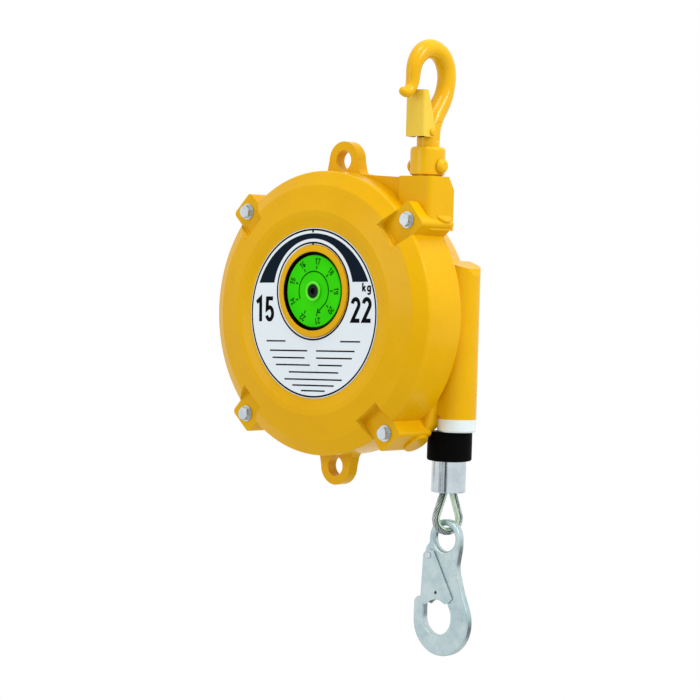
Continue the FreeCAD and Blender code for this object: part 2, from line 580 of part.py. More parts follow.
def swivel_hardware():
    """Thrust washers, nut under the block and the dome-headed cross pin."""
    top = rod(SOCKET_R - 2, V(HANG_X, HANG_Y, BLOCK_Z1), V(HANG_X, HANG_Y, BLOCK_Z1 + THRUST_T))
    low = rod(POCKET_R - 1, V(HANG_X, HANG_Y, POCKET_TOP_Z - THRUST_T),
              V(HANG_X, HANG_Y, POCKET_TOP_Z))
    stem_hole = rod(STEM_R + RUN, V(HANG_X, HANG_Y, 0), V(HANG_X, HANG_Y, SEAT_Z))
    save("thrust_washers", Part.makeCompound([top.cut(stem_hole), low.cut(stem_hole)]))
    nut_top = POCKET_TOP_Z - THRUST_T - 0.1
    corners = [math.radians(60 * k) for k in range(6)]
    wire = rounded_wire([(SWIVEL_NUT_R * math.cos(a), SWIVEL_NUT_R * math.sin(a)) for a in corners],
                        lambda p: V(p.x + HANG_X, p.y + HANG_Y, nut_top - SWIVEL_NUT_T))
    nut = Part.Face(wire).extrude(V(0, 0, SWIVEL_NUT_T))
    save("swivel_nut", nut.cut(rod(STEM_R + FIT, V(HANG_X, HANG_Y, 0), V(HANG_X, HANG_Y, SEAT_Z))))
    reach = SOCKET_R + 0.3
    pin = turned_x([(-reach - CROSS_HEAD_H, 0), (-reach - CROSS_HEAD_H, CROSS_HEAD_R, 3.6),
                    (-reach, CROSS_HEAD_R), (-reach, CROSS_PIN_R), (reach, CROSS_PIN_R),
                    (reach, CROSS_HEAD_R), (reach + CROSS_HEAD_H, CROSS_HEAD_R, 3.6),
                    (reach + CROSS_HEAD_H, 0)], HANG_Y, CROSS_PIN_Z)
    pin.translate(V(HANG_X, 0, 0))
    save("socket_cross_pin", pin)


def upper_hook():
    """Forged hook: a round section lofted round the bowl, on a straight shank."""
    spine = Part.BSplineCurve()
    stations = [(V(HANG_X, HANG_Y + y, BLOCK_Z1 + z), radius) for y, z, radius in HOOK_STATIONS]
    spine.interpolate([centre for centre, radius in stations])
    sections = []
    for centre, radius in stations:
        direction = spine.tangent(spine.parameter(centre))[0]
        sections.append(Part.Wire(Part.makeCircle(radius, centre, direction)))
    bowl = Part.makeLoft(sections, True, False)
    shank_end = BLOCK_Z1 + THRUST_T + SOCKET_FLOOR + FIT
    shank = rod(SHANK_R, V(HANG_X, HANG_Y, shank_end), stations[0][0])
    nose = Part.makeSphere(stations[-1][1], stations[-1][0])
    hook = joined([bowl, shank, nose])
    flat = LATCH_HALF - LATCH_T - 0.2
    cuts = [block(HANG_X + side, HANG_X + side + 5, HANG_Y - 16, HANG_Y + 16, NECK_Z0, NECK_Z1)
            for side in (flat, -flat - 5)]
    cuts.append(block(HANG_X - 3.2, HANG_X + 3.2, HANG_Y - 20, HANG_Y + LATCH_PIN_Y + 4,
                      LATCH_PIN_Z - 4, LATCH_PIN_Z + 4.2))
    cuts.append(rod(LATCH_PIN_R + FIT, V(HANG_X - 20, HANG_Y + LATCH_PIN_Y, LATCH_PIN_Z),
                    V(HANG_X + 20, HANG_Y + LATCH_PIN_Y, LATCH_PIN_Z)))
    cuts.append(rod(CROSS_PIN_R + FIT, V(HANG_X - 20, HANG_Y, CROSS_PIN_Z),
                    V(HANG_X + 20, HANG_Y, CROSS_PIN_Z)))
    return hook.cut(cuts)


def upper_latch():
    """Folded channel latch with its two legs round the neck of the hook."""
    front = HANG_Y + LATCH_Y
    pin_y = HANG_Y + LATCH_PIN_Y
    legs_outline = [(front, LATCH_Z0), (pin_y + 1, LATCH_Z0 - 0.5, 3), (pin_y + 4.5, LATCH_PIN_Z, 3),
                    (pin_y + 3, LATCH_PIN_Z + 8, 8), (front + 5, LATCH_Z1), (front, LATCH_Z1)]
    channel = plate_x(legs_outline, HANG_X - LATCH_HALF, 2 * LATCH_HALF)
    upright = [e for e in channel.Edges if abs(e.CenterOfMass.y - front) < 1e-3 and e.Length > 30]
    channel = channel.makeFillet(2, upright)
    inner = block(HANG_X - LATCH_HALF + LATCH_T, HANG_X + LATCH_HALF - LATCH_T,
                  front + LATCH_T, front + 60, LATCH_Z0 - 10, LATCH_Z1 + 10)
    hole = rod(LATCH_PIN_R + RUN, V(HANG_X - 20, pin_y, LATCH_PIN_Z),
               V(HANG_X + 20, pin_y, LATCH_PIN_Z))
    return channel.cut([inner, hole])


def upper_latch_hardware():
    """Rivet and torsion spring of the upper latch."""
    pin_y = HANG_Y + LATCH_PIN_Y
    reach, end = LATCH_HALF + 0.1, LATCH_HALF + 0.1 + LATCH_HEAD_H
    pin = turned_x([(-end, 0), (-end, LATCH_HEAD_R, 1.6), (-reach, LATCH_HEAD_R), (-reach, LATCH_PIN_R),
                    (reach, LATCH_PIN_R), (reach, LATCH_HEAD_R), (end, LATCH_HEAD_R, 1.6), (end, 0)],
                   pin_y, LATCH_PIN_Z)
    pin.translate(V(HANG_X, 0, 0))
    save("upper_latch_pin", pin)
    coil = rod(LATCH_COIL_R, V(HANG_X - LATCH_COIL_HALF, pin_y, LATCH_PIN_Z),
               V(HANG_X + LATCH_COIL_HALF, pin_y, LATCH_PIN_Z))
    coil = coil.cut(rod(LATCH_PIN_R + 0.2, V(HANG_X - 5, pin_y, LATCH_PIN_Z),
                        V(HANG_X + 5, pin_y, LATCH_PIN_Z)))
    leg_y = HANG_Y + LATCH_Y + LATCH_T + WIRE_R + RUN
    arm = rod(WIRE_R, V(HANG_X, pin_y - 2.5, LATCH_PIN_Z + 0.4), V(HANG_X, leg_y, LATCH_PIN_Z + 3))
    leg = rod(WIRE_R, V(HANG_X, leg_y, LATCH_PIN_Z + 2.8), V(HANG_X, leg_y, LATCH_PIN_Z + 14))
    save("upper_latch_spring", joined([coil, arm, leg]))


# ======================================================================================
# drum and drive
# ======================================================================================
def pitch_radius(y):
    """Radius of the rope's centre line on the drum at depth y."""
    return ROPE_X + DRUM_TAPER * (ROPE_Y - y)


def cable_drum():
    """Taper drum with rope grooves round the spring room, carried by its rear web."""
    first_y = ROPE_Y - GROOVE_PITCH * (GROOVE_COUNT - 1)
    front_y = first_y - GROOVE_PITCH / 2 - 0.5
    back_y = ROPE_Y + GROOVE_PITCH / 2 + 0.5
    body = turned_y([
        (DRUM_IN_R, DRUM_Y0), (DRUM_SKIN_R, DRUM_Y0), (DRUM_SKIN_R, front_y - DRUM_FLANGE_T),
        (DRUM_FLANGE_R, front_y - DRUM_FLANGE_T, 0.8), (DRUM_FLANGE_R, front_y, 0.8),
        (pitch_radius(front_y), front_y), (pitch_radius(back_y), back_y),
        (pitch_radius(back_y) + DRUM_LIP, back_y, 0.8), (pitch_radius(back_y) + DRUM_LIP, DRUM_Y1, 0.8),
        (DRUM_IN_R, DRUM_Y1), (DRUM_IN_R, DRUM_WEB_Y + DRUM_WEB_T), (BUSH_R + FIT, DRUM_WEB_Y + DRUM_WEB_T),
        (BUSH_R + FIT, HUB_Y), (HUB_R, HUB_Y), (HUB_R, DRUM_WEB_Y, 2), (DRUM_IN_R, DRUM_WEB_Y, 2)])
    grooves = []
    for k in range(GROOVE_COUNT):
        y = ROPE_Y - GROOVE_PITCH * k
        grooves.append(Part.makeTorus(pitch_radius(y), ROPE_R + GROOVE_PLAY, V(0, y, 0), AXIS_Y))
    return body.cut(grooves)


def rope_turns():
    """Rope lying in the drum's grooves, one ring to each groove."""
    rings = []
    for k in range(GROOVE_COUNT):
        y = ROPE_Y - GROOVE_PITCH * k
        start = Part.Face(Part.Wire(Part.makeCircle(ROPE_R, V(pitch_radius(y), y, 0), AXIS_Z)))
        rings.append(start.revolve(V(0, 0, 0), -AXIS_Y, 360 if k else LAST_TURN))
    return Part.makeCompound(rings)


def main_spring():
    """Flat spiral spring wound from half-turn arcs, its outer end against the drum wall."""
    inner_r = ARBOR_R + SPRING_START
    step = (DRUM_IN_R - 0.15 - inner_r - SPRING_T) / (2 * SPRING_TURNS - 1)

    def spiral(offset):
        edges = []
        start_x = -(inner_r + offset)
        for k in range(2 * SPRING_TURNS - 1):
            side = 1 if k % 2 == 0 else -1
            end_x = side * (inner_r + offset + step * (k + 1))
            middle = (start_x + end_x) / 2
            reach = abs(end_x - start_x) / 2
            edges.append(Part.Arc(V(start_x, SPRING_Y0, 0), V(middle, SPRING_Y0, side * reach),
                                  V(end_x, SPRING_Y0, 0)).toShape())
            start_x = end_x
        return edges, start_x

    low, low_end = spiral(0)
    high, high_end = spiral(SPRING_T)
    ends = [Part.makeLine(V(-inner_r, SPRING_Y0, 0), V(-inner_r - SPRING_T, SPRING_Y0, 0)),
            Part.makeLine(V(low_end, SPRING_Y0, 0), V(high_end, SPRING_Y0, 0))]
    wire = Part.Wire(Part.__sortEdges__(low + high + ends))
    return Part.Face(wire).extrude(V(0, SPRING_Y1 - SPRING_Y0, 0))


def drum_group():
    """Drum, lid, screws, bushes, spring and the rope on the drum."""
    save("cable_drum", cable_drum())
    save("rope_turns", rope_turns())
    save("main_spring", main_spring())
    lid = rod(DRUM_SKIN_R, V(0, DRUM_Y0 - LID_T, 0), V(0, DRUM_Y0, 0))
    hole = rod(ARBOR_R + RUN, V(0, 0, 0), V(0, BACK_Y, 0))
    screw_r = (DRUM_IN_R + DRUM_SKIN_R) / 2
    screws, screw_holes = [], []
    for k in range(LID_SCREWS):
        a = math.radians(360.0 * (k + 0.5) / LID_SCREWS)
        x, z = screw_r * math.cos(a), screw_r * math.sin(a)
        shank = rod(LID_SCREW_R, V(x, DRUM_Y0 - LID_T, z), V(x, DRUM_Y0, z))
        head = rod(LID_HEAD_R, V(x, DRUM_Y0 - LID_T - LID_HEAD_T, z), V(x, DRUM_Y0 - LID_T, z))
        screws.append(joined([shank, head]))
        screw_holes.append(rod(LID_SCREW_R + FIT, V(x, 0, z), V(x, BACK_Y, z)))
    save("drum_lid", lid.cut([hole] + screw_holes))
    save("lid_screws", Part.makeCompound(screws))
    bush = rod(BUSH_R, V(0, HUB_Y, 0), V(0, DRUM_WEB_Y + DRUM_WEB_T, 0))
    save("drum_bush", bush.cut(rod(SHAFT_R + RUN, V(0, 0, 0), V(0, BACK_Y, 0))))


def fixed_shaft():
    """Axle fixed in the rear boss, and the thrust ring behind the drum."""
    save("main_shaft", rod(SHAFT_R, V(0, SHAFT_Y0 + 0.2, 0), V(0, BACK_Y - SHAFT_HOLE_END - 0.5, 0)))
    ring = rod(BOSS_R - 3, V(0, DRUM_WEB_Y + DRUM_WEB_T + 0.1, 0), V(0, BOSS_Y, 0))
    save("drum_thrust_ring", ring.cut(rod(SHAFT_R + FIT, V(0, 0, 0), V(0, BACK_Y, 0))))


def arbor_group():
    """Spring arbor, worm wheel and the pinion that turns the dial."""
    arbor = turned_y([
        (0, PLATE_Y + 0.2), (ARBOR_TIP_R, PLATE_Y + 0.2), (ARBOR_TIP_R, GEAR_Y0), (ARBOR_PINION_R, GEAR_Y0),
        (ARBOR_PINION_R, ARBOR_FRONT_Y), (ARBOR_NECK_R, ARBOR_FRONT_Y),
        (ARBOR_NECK_R, WORM_Y + WHEEL_T / 2), (ARBOR_R, WORM_Y + WHEEL_T / 2),
        (ARBOR_R, ARBOR_Y1), (SHAFT_R + RUN, ARBOR_Y1), (SHAFT_R + RUN, SHAFT_Y0), (0, SHAFT_Y0)])
    save("spring_arbor", arbor)
    wheel_r = -WORM_Z - WORM_TIP_R - SEAT
    front_y, web_y = WORM_Y - WHEEL_T / 2, WORM_Y - WHEEL_T / 2 + WHEEL_WEB / 2
    wheel = turned_y([(ARBOR_NECK_R + FIT, front_y), (ARBOR_NECK_R + 10, front_y),
                      (ARBOR_NECK_R + 12, web_y, 1), (wheel_r - 6, web_y, 1),
                      (wheel_r - 4, front_y), (wheel_r, front_y), (wheel_r, front_y + WHEEL_T),
                      (ARBOR_NECK_R + FIT, front_y + WHEEL_T)])
    save("worm_wheel", wheel)
    save("indicator_pinion", spur_gear(PINION_TEETH, 90.0, ARBOR_PINION_R + FIT, GEAR_Y0 + SEAT,
                                       GEAR_Y1 + SEAT, 0))


def worm_group():
    """Worm with its long key end and the two bushes in the cover's posts."""
    worm = turned_x([(WORM_END_X, 0), (WORM_END_X, WORM_SHAFT_R, 0.6), (-POST_X + 0.2, WORM_SHAFT_R),
                     (-POST_X + 0.2, WORM_SHOULDER_R), (-WORM_HALF, WORM_SHOULDER_R), (-WORM_HALF, WORM_TIP_R),
                     (WORM_HALF, WORM_TIP_R), (WORM_HALF, WORM_SHOULDER_R), (POST_X - 0.2, WORM_SHOULDER_R),
                     (POST_X - 0.2, WORM_SHAFT_R), (POST_X + POST_T, WORM_SHAFT_R),
                     (POST_X + POST_T, 0)], WORM_Y, WORM_Z)
    key = hex_bar(KEY_AF, 0, KEY_DEPTH + EPS)
    key.rotate(V(0, 0, 0), AXIS_Z, -90)
    key.translate(V(WORM_END_X - EPS, WORM_Y, WORM_Z))
    save("worm", worm.cut(key))
    bushes = []
    for x in (-POST_X - POST_T, POST_X):
        ring = rod(WORM_SHAFT_R + RUN + WORM_BUSH_T, V(x, WORM_Y, WORM_Z), V(x + POST_T, WORM_Y, WORM_Z))
        bushes.append(ring.cut(rod(WORM_SHAFT_R + RUN, V(x - 1, WORM_Y, WORM_Z),
                                   V(x + POST_T + 1, WORM_Y, WORM_Z))))
    save("worm_bushes", Part.makeCompound(bushes))


def dial_group():
    """Dial with hub, its plate, gear, screw and nut."""
    collar_y, head_y = DIAL_Y - DIAL_COLLAR_H, DIAL_Y + DIAL_RECESS
    dial = turned_y([(0, collar_y), (DIAL_COLLAR_R, collar_y, 0.4), (DIAL_COLLAR_R, DIAL_Y),
                     (DIAL_R, DIAL_Y, 0.5), (DIAL_R, DIAL_Y + DIAL_T), (DIAL_BACK_R, DIAL_Y + DIAL_T),
                     (DIAL_BACK_R, PLATE_Y - 0.1), (DIAL_HUB_R, PLATE_Y - 0.1), (DIAL_HUB_R, GEAR_Y1),
                     (0, GEAR_Y1)], 0, WINDOW_Z)
    recess = rod(DIAL_HEAD_R, V(0, collar_y - EPS, WINDOW_Z), V(0, head_y, WINDOW_Z))
    hole = rod(DIAL_SCREW_R + FIT, V(0, collar_y, WINDOW_Z), V(0, 20, WINDOW_Z))
    save("dial", dial.cut([recess, hole]))
    plate = rod(PLATE_R, V(0, PLATE_Y, WINDOW_Z), V(0, PLATE_Y + PLATE_T, WINDOW_Z))
    save("dial_plate", plate.cut([rod(DIAL_HUB_R + RUN, V(0, 0, WINDOW_Z), V(0, 20, WINDOW_Z)),
                                  rod(ARBOR_TIP_R + RUN, V(0, 0, 0), V(0, 20, 0))]))
    save("dial_gear", spur_gear(DIAL_TEETH, -90.0 + 180.0 / DIAL_TEETH, DIAL_HUB_R + FIT,
                                GEAR_Y0, GEAR_Y1, WINDOW_Z))
    nut = hex_bar(DIAL_NUT_AF, GEAR_Y1 + RUN, GEAR_Y1 + DIAL_NUT_T)
    nut.translate(V(0, 0, WINDOW_Z))
    save("dial_nut", nut.cut(hole))
    head = rod(DIAL_HEAD_R - 0.1, V(0, collar_y + 0.3, WINDOW_Z), V(0, head_y, WINDOW_Z))
    shank = rod(DIAL_SCREW_R, V(0, head_y, WINDOW_Z), V(0, GEAR_Y1 + DIAL_NUT_T + 1, WINDOW_Z))
    key = hex_bar(2 * DIAL_SCREW_R, collar_y - EPS, head_y - 0.8)
    key.translate(V(0, 0, WINDOW_Z))
    save("dial_screw", joined([head, shank]).cut(key))


# ======================================================================================
# rope and load end
# ======================================================================================
def rope_guide():
    """White mouthpiece in the bottom of the rope tube, with a slot that the rope walks in."""
    ring = turned_z([(0, GUIDE_Z0), (TUBE_R - GUIDE_EDGE, GUIDE_Z0), (TUBE_R, GUIDE_Z0 + GUIDE_EDGE),
                     (TUBE_R, TUBE_Z0), (TUBE_BORE_R - FIT, TUBE_Z0),
                     (TUBE_BORE_R - FIT, TUBE_Z0 + GUIDE_SPIGOT), (0, TUBE_Z0 + GUIDE_SPIGOT)],
                    TUBE_X, TUBE_Y)
    return ring.cut(rope_slot(GUIDE_Z0 - EPS, TUBE_Z0 + GUIDE_SPIGOT + EPS, MOUTH_R))


def rope_pieces():
    """Rope from the drum to the bumper, and the rope inside bumper and ferrule."""
    save("rope_run", rod(ROPE_R, V(ROPE_X, ROPE_Y, BUMPER_Z1), V(ROPE_X, ROPE_Y, 0)))
    save("rope_tail", rod(ROPE_R, V(ROPE_X, ROPE_Y, CLAMP_Z1), V(ROPE_X, ROPE_Y, BUMPER_Z1)))
    save("rope_clamp", rod(CLAMP_R, V(ROPE_X, ROPE_Y, CLAMP_Z0), V(ROPE_X, ROPE_Y, CLAMP_Z1)))


def bumper_and_ferrule():
    """Rubber stop and the steel sleeve under it."""
    bumper = turned_z([(ROPE_R + FIT, BUMPER_Z0), (BUMPER_R, BUMPER_Z0, 2), (BUMPER_R, BUMPER_Z1, 1.5),
                       (ROPE_R + FIT, BUMPER_Z1)], ROPE_X, ROPE_Y)
    save("rope_bumper", bumper)
    inner = FERRULE_R - FERRULE_WALL
    ferrule = turned_z([(ROPE_R + FIT, BUMPER_Z0), (FERRULE_R, BUMPER_Z0, 0.6),
                        (FERRULE_R, FERRULE_Z0, 0.6), (inner, FERRULE_Z0, 0.6),
                        (inner, CLAMP_Z1), (ROPE_R + FIT, CLAMP_Z1)],
                       ROPE_X, ROPE_Y)
    save("rope_ferrule", ferrule)


def eye_wire(offset, top_z):
    """Teardrop path in the x, z plane, offset inwards from the rope's line: leg, round end, leg."""
    height = CLAMP_Z0 - LOOP_Z
    turn = (math.atan2(height, EYE_TOP_HALF)
            - math.acos(LOOP_R / math.hypot(EYE_TOP_HALF, height)))
    radius = LOOP_R - offset
    touch = V(radius * math.cos(turn), 0, LOOP_Z + radius * math.sin(turn))
    rise = (top_z - touch.z) / math.cos(turn)
    top = touch + V(-math.sin(turn), 0, math.cos(turn)) * rise
    touch_left, top_left = V(-touch.x, 0, touch.z), V(-top.x, 0, top.z)
    return Part.Wire([Part.makeLine(top_left, touch_left),
                      Part.Arc(touch_left, V(0, 0, LOOP_Z - radius), touch).toShape(),
                      Part.makeLine(touch, top)]), top_left, (touch_left - top_left).normalize()


def to_eye(shape):
    """Turn a piece of the rope eye into its plane and set it under the ferrule."""
    shape.rotate(V(0, 0, 0), AXIS_Z, LOOP_ANGLE)
    shape.translate(V(ROPE_X, ROPE_Y, 0))
    return shape


def rope_eye():
    """Rope loop out of the clamp, and the pressed thimble inside it."""
    path, start, along = eye_wire(0, CLAMP_Z0 - LOOP_TUCK)
    ring = Part.Wire(Part.makeCircle(ROPE_R, start, along))
    save("rope_loop", to_eye(path.makePipeShell([ring], True, False)))
    base = ROPE_R + THIMBLE_PLAY + THIMBLE_T / 2
    path, start, along = eye_wire(base, FERRULE_Z0 - SEAT)
    outward = V(along.z, 0, -along.x)
    section = [(u, b) for u, b in THIMBLE_SIDE] + [(u, -b) for u, b in reversed(THIMBLE_SIDE)]
    corners = [start + outward * u + AXIS_Y * b for u, b in section]
    wire = Part.makePolygon(corners + corners[:1])
    save("rope_thimble", to_eye(path.makePipeShell([wire], True, False)))


def hook_place(shape):
    """Move a piece of the snap hook from its own frame to the eye below the rope."""
    shape.translate(V(ROPE_X, ROPE_Y, EYE_Z))
    return shape


def load_hook():
    """Flat forged snap hook: eye, waisted shank, bowl and tip."""
    half = LOAD_T / 2
    px, pz = LOAD_PIVOT
    left, right, bottom = BOWL_X - BOWL_R, BOWL_X + BOWL_R, BOWL_Z - BOWL_R
    inner_left, inner_right = THROAT_X - THROAT_R, THROAT_X + THROAT_R
    inner_bottom = THROAT_Z - THROAT_R
    outline = [
        (EYE_R, EYE_R, EYE_R), *SHANK_BACK, (right, bottom, BOWL_R - 0.1), (left, bottom, BOWL_R - 0.1),
        (left, TIP_Z - 4.7, 3), (left + 4.5, TIP_Z, 2.5), (inner_left, TIP_Z - 6.7, 0.8),
        (inner_left, inner_bottom, THROAT_R - 0.05), (inner_right, inner_bottom, THROAT_R - 0.05),
        *SHANK_FRONT, (-EYE_R, -4, 4), (-EYE_R, EYE_R, EYE_R)]
    hook = plate_y(outline, -half, LOAD_T)
    edges = [e for e in hook.Edges if all(abs(abs(v.Y) - half) < 1e-6 for v in e.Vertexes)
             and abs(abs(e.CenterOfMass.y) - half) < 1e-6]
    hook = hook.makeFillet(EDGE_ROUND, edges)
    soft_r = EYE_HOLE_R + EYE_ROUND
    eye_hole = turned_y([(0, -half - EPS), (soft_r, -half - EPS), (soft_r, -half),
                         (EYE_HOLE_R, -half, EYE_ROUND), (EYE_HOLE_R, half, EYE_ROUND),
                         (soft_r, half), (soft_r, half + EPS), (0, half + EPS)])
    return hook_place(hook.cut([
        eye_hole,
        rod(LOAD_PIVOT_R + FIT, V(px, -LOAD_T, pz), V(px, LOAD_T, pz)),
        block(SLOT_X[0], SLOT_X[1], -SLOT_HALF, SLOT_HALF, SLOT_Z[0], SLOT_Z[1])]))


def load_latch():
    """Two triangular cheeks joined by a web, hung on the rivet."""
    half = LOAD_T / 2 + CHEEK_GAP
    px, pz = LOAD_PIVOT
    cheeks = [plate_y(CHEEK_OUTLINE, y, CHEEK_T) for y in (-half - CHEEK_T, half)]
    web_x = THROAT_X - THROAT_R + SEAT
    web = block(web_x, web_x + CHEEK_WEB_T, -half - CHEEK_T / 2, half + CHEEK_T / 2,
                CHEEK_WEB_Z[0], CHEEK_WEB_Z[1])
    latch = joined(cheeks + [web])
    reach = half + 2 * CHEEK_T
    hole_x, hole_z, hole_r = CHEEK_HOLE
    return hook_place(latch.cut([
        rod(THROAT_R + CHEEK_RELIEF, V(THROAT_X, -reach, THROAT_Z), V(THROAT_X, reach, THROAT_Z)),
        rod(LOAD_PIVOT_R + RUN, V(px, -reach, pz), V(px, reach, pz)),
        rod(hole_r, V(hole_x, -reach, hole_z), V(hole_x, reach, hole_z))]))


def load_latch_hardware():
    """Rivet and closing spring of the snap hook's latch."""
    px, pz = LOAD_PIVOT
    reach = LOAD_T / 2 + CHEEK_GAP + CHEEK_T + 0.1
    end = reach + RIVET_HEAD_H
    rivet = turned_y([(0, -end), (RIVET_HEAD_R, -end, 0.7), (RIVET_HEAD_R, -reach), (LOAD_PIVOT_R, -reach),
                      (LOAD_PIVOT_R, reach), (RIVET_HEAD_R, reach), (RIVET_HEAD_R, end, 0.7), (0, end)],
                     px, pz)
    save("load_latch_rivet", hook_place(rivet))
    coil = rod(LOAD_COIL_R, V(px, -LOAD_COIL_HALF, pz), V(px, LOAD_COIL_HALF, pz))
    coil = coil.cut(rod(LOAD_PIVOT_R + 0.2, V(px, -LOAD_T, pz), V(px, LOAD_T, pz)))
    leg_x = THROAT_X - THROAT_R + SEAT + CHEEK_WEB_T + WIRE_R + RUN
    leg = rod(WIRE_R, V(px - 1.9, 0, pz - 1.9), V(leg_x, 0, LOAD_LEG_Z))
    save("load_latch_spring", hook_place(joined([coil, leg])))


def main():
    """Build every piece."""
    os.makedirs("parts", exist_ok=True)
    save("rear_case", rear_case())
    save("front_cover", front_cover())
    save("rating_plate", rating_plate())
    fasteners()
    save("hook_socket", hook_socket())
    swivel_hardware()
    save("upper_hook", upper_hook())
    save("upper_latch", upper_latch())
    upper_latch_hardware()
    fixed_shaft()
    drum_group()
    arbor_group()
    worm_group()
    dial_group()
    save("rope_guide", rope_guide())
    rope_pieces()
    bumper_and_ferrule()
    rope_eye()
    save("load_hook", load_hook())
    save("load_latch", load_latch())
    load_latch_hardware()


main()
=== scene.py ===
"""Looks of a spring tool balancer: enamelled housing, printed rating plate, dial and wire rope.

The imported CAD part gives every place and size.  This file dresses its nodes with enamel,
zinc, nylon, rubber and steel finishes, draws the rating plate's print and the dial's relief,
and lays up the wire rope strand by strand.  Lengths are metres unless a name says otherwise.
"""
from __future__ import annotations

import json
import logging
import math
from collections.abc import Sequence
from dataclasses import dataclass
from enum import Enum

import bpy
import numpy as np
from bpy.types import Material, Node, NodeSocket, NodeTree, Object
from mathutils import Matrix, Vector

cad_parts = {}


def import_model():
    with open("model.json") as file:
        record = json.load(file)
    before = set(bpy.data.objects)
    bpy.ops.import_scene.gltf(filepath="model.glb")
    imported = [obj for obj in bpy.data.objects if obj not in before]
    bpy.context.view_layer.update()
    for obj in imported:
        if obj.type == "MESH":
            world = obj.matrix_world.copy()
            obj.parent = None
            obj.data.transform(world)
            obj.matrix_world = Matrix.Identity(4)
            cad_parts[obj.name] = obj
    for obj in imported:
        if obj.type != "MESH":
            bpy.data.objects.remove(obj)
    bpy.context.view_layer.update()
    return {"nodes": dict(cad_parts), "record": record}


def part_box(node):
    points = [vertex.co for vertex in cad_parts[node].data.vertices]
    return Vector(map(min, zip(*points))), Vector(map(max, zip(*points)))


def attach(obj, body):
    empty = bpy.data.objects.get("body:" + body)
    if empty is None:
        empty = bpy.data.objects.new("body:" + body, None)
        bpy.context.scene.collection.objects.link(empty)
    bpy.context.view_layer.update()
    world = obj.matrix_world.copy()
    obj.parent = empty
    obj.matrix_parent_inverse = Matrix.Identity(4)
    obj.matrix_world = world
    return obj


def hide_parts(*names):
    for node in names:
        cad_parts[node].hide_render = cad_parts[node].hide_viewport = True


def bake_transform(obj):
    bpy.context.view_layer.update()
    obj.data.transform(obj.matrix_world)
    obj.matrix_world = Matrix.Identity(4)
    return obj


LOG = logging.getLogger("balancer")
MM = 0.001
Colour = tuple[float, float, float]
Strokes = list[np.ndarray]


def linear(colour: Colour) -> tuple[float, float, float, float]:
    """Turn a display colour into scene-linear light, channel by channel.

    Args:
        colour: Red, green and blue from 0 to 1 as a screen shows them.

    Returns:
        The same colour in linear light, with an alpha of 1.
    """
    values = [c / 12.92 if c <= 0.04045 else ((c + 0.055) / 1.055) ** 2.4 for c in colour]
    return values[0], values[1], values[2], 1.0


# ------------------------------------------------------------------------------------
# node groups shared by the finishes
# ------------------------------------------------------------------------------------
VALUE_SOCKET = "NodeSocketFloat"


def preset(node: Node, values: dict[str, object]) -> None:
    """Set plain values on a node's inputs, by their names."""
    for key, value in values.items():
        node.inputs[key].default_value = value


class NodeSheet:
    """A node tree being drawn, with short calls for the nodes that the finishes need."""

    def __init__(self, tree: NodeTree) -> None:
        """Start on an empty tree."""
        self.tree = tree

    def add(self, kind: str, **settings: object) -> Node:
        """Add one node and set its properties.

        Args:
            kind: Blender's name of the node type.
            **settings: Property values by name.

        Returns:
            The new node.
        """
        node = self.tree.nodes.new(kind)
        for name, value in settings.items():
            setattr(node, name, value)
        return node

    def join(self, source: NodeSocket, target: NodeSocket) -> None:
        """Link an output to an input."""
        self.tree.links.new(source, target)

    def feed(self, socket: NodeSocket, value: object) -> None:
        """Link a socket or set a plain value on an input."""
        if isinstance(value, NodeSocket):
            self.join(value, socket)
        else:
            socket.default_value = value

    def noise(self, vector: NodeSocket, scale: object, detail: float = 2.0,
              rough: float = 0.5) -> NodeSocket:
        """Cloudy noise.

        Args:
            vector: The place that the noise is read at.
            scale: Features per metre, as a number or a socket.
            detail: Number of finer octaves.
            rough: Strength of the finer octaves.

        Returns:
            The noise value, about 0.5 on average.
        """
        node = self.add("ShaderNodeTexNoise")
        self.join(vector, node.inputs["Vector"])
        self.feed(node.inputs["Scale"], scale)
        preset(node, {"Detail": detail, "Roughness": rough})
        return node.outputs["Fac"]

    def stretched(self, vector: NodeSocket, scale: Sequence[float]) -> NodeSocket:
        """The place multiplied by a factor on each axis."""
        node = self.add("ShaderNodeMapping")
        self.join(vector, node.inputs["Vector"])
        preset(node, {"Scale": tuple(scale)})
        return node.outputs["Vector"]

    def ramp(self, value: NodeSocket, low: float, high: float, start: float = 0.0,
             end: float = 1.0) -> NodeSocket:
        """Map a value from one range to another, clamped at both ends."""
        node = self.add("ShaderNodeMapRange")
        self.join(value, node.inputs["Value"])
        preset(node, {"From Min": low, "From Max": high, "To Min": start, "To Max": end})
        return node.outputs["Result"]

    def calc(self, kind: str, first: object, second: object) -> NodeSocket:
        """Arithmetic on two values, such as ADD, MULTIPLY or MAXIMUM."""
        node = self.add("ShaderNodeMath", operation=kind)
        self.feed(node.inputs[0], first)
        self.feed(node.inputs[1], second)
        return node.outputs["Value"]

    def mixed(self, share: object, first: object, second: object) -> NodeSocket:
        """Blend of two colours by a share from 0 to 1."""
        node = self.add("ShaderNodeMix", data_type="RGBA")
        self.feed(node.inputs["Factor"], share)
        self.feed(node.inputs["A"], first)
        self.feed(node.inputs["B"], second)
        return node.outputs["Result"]


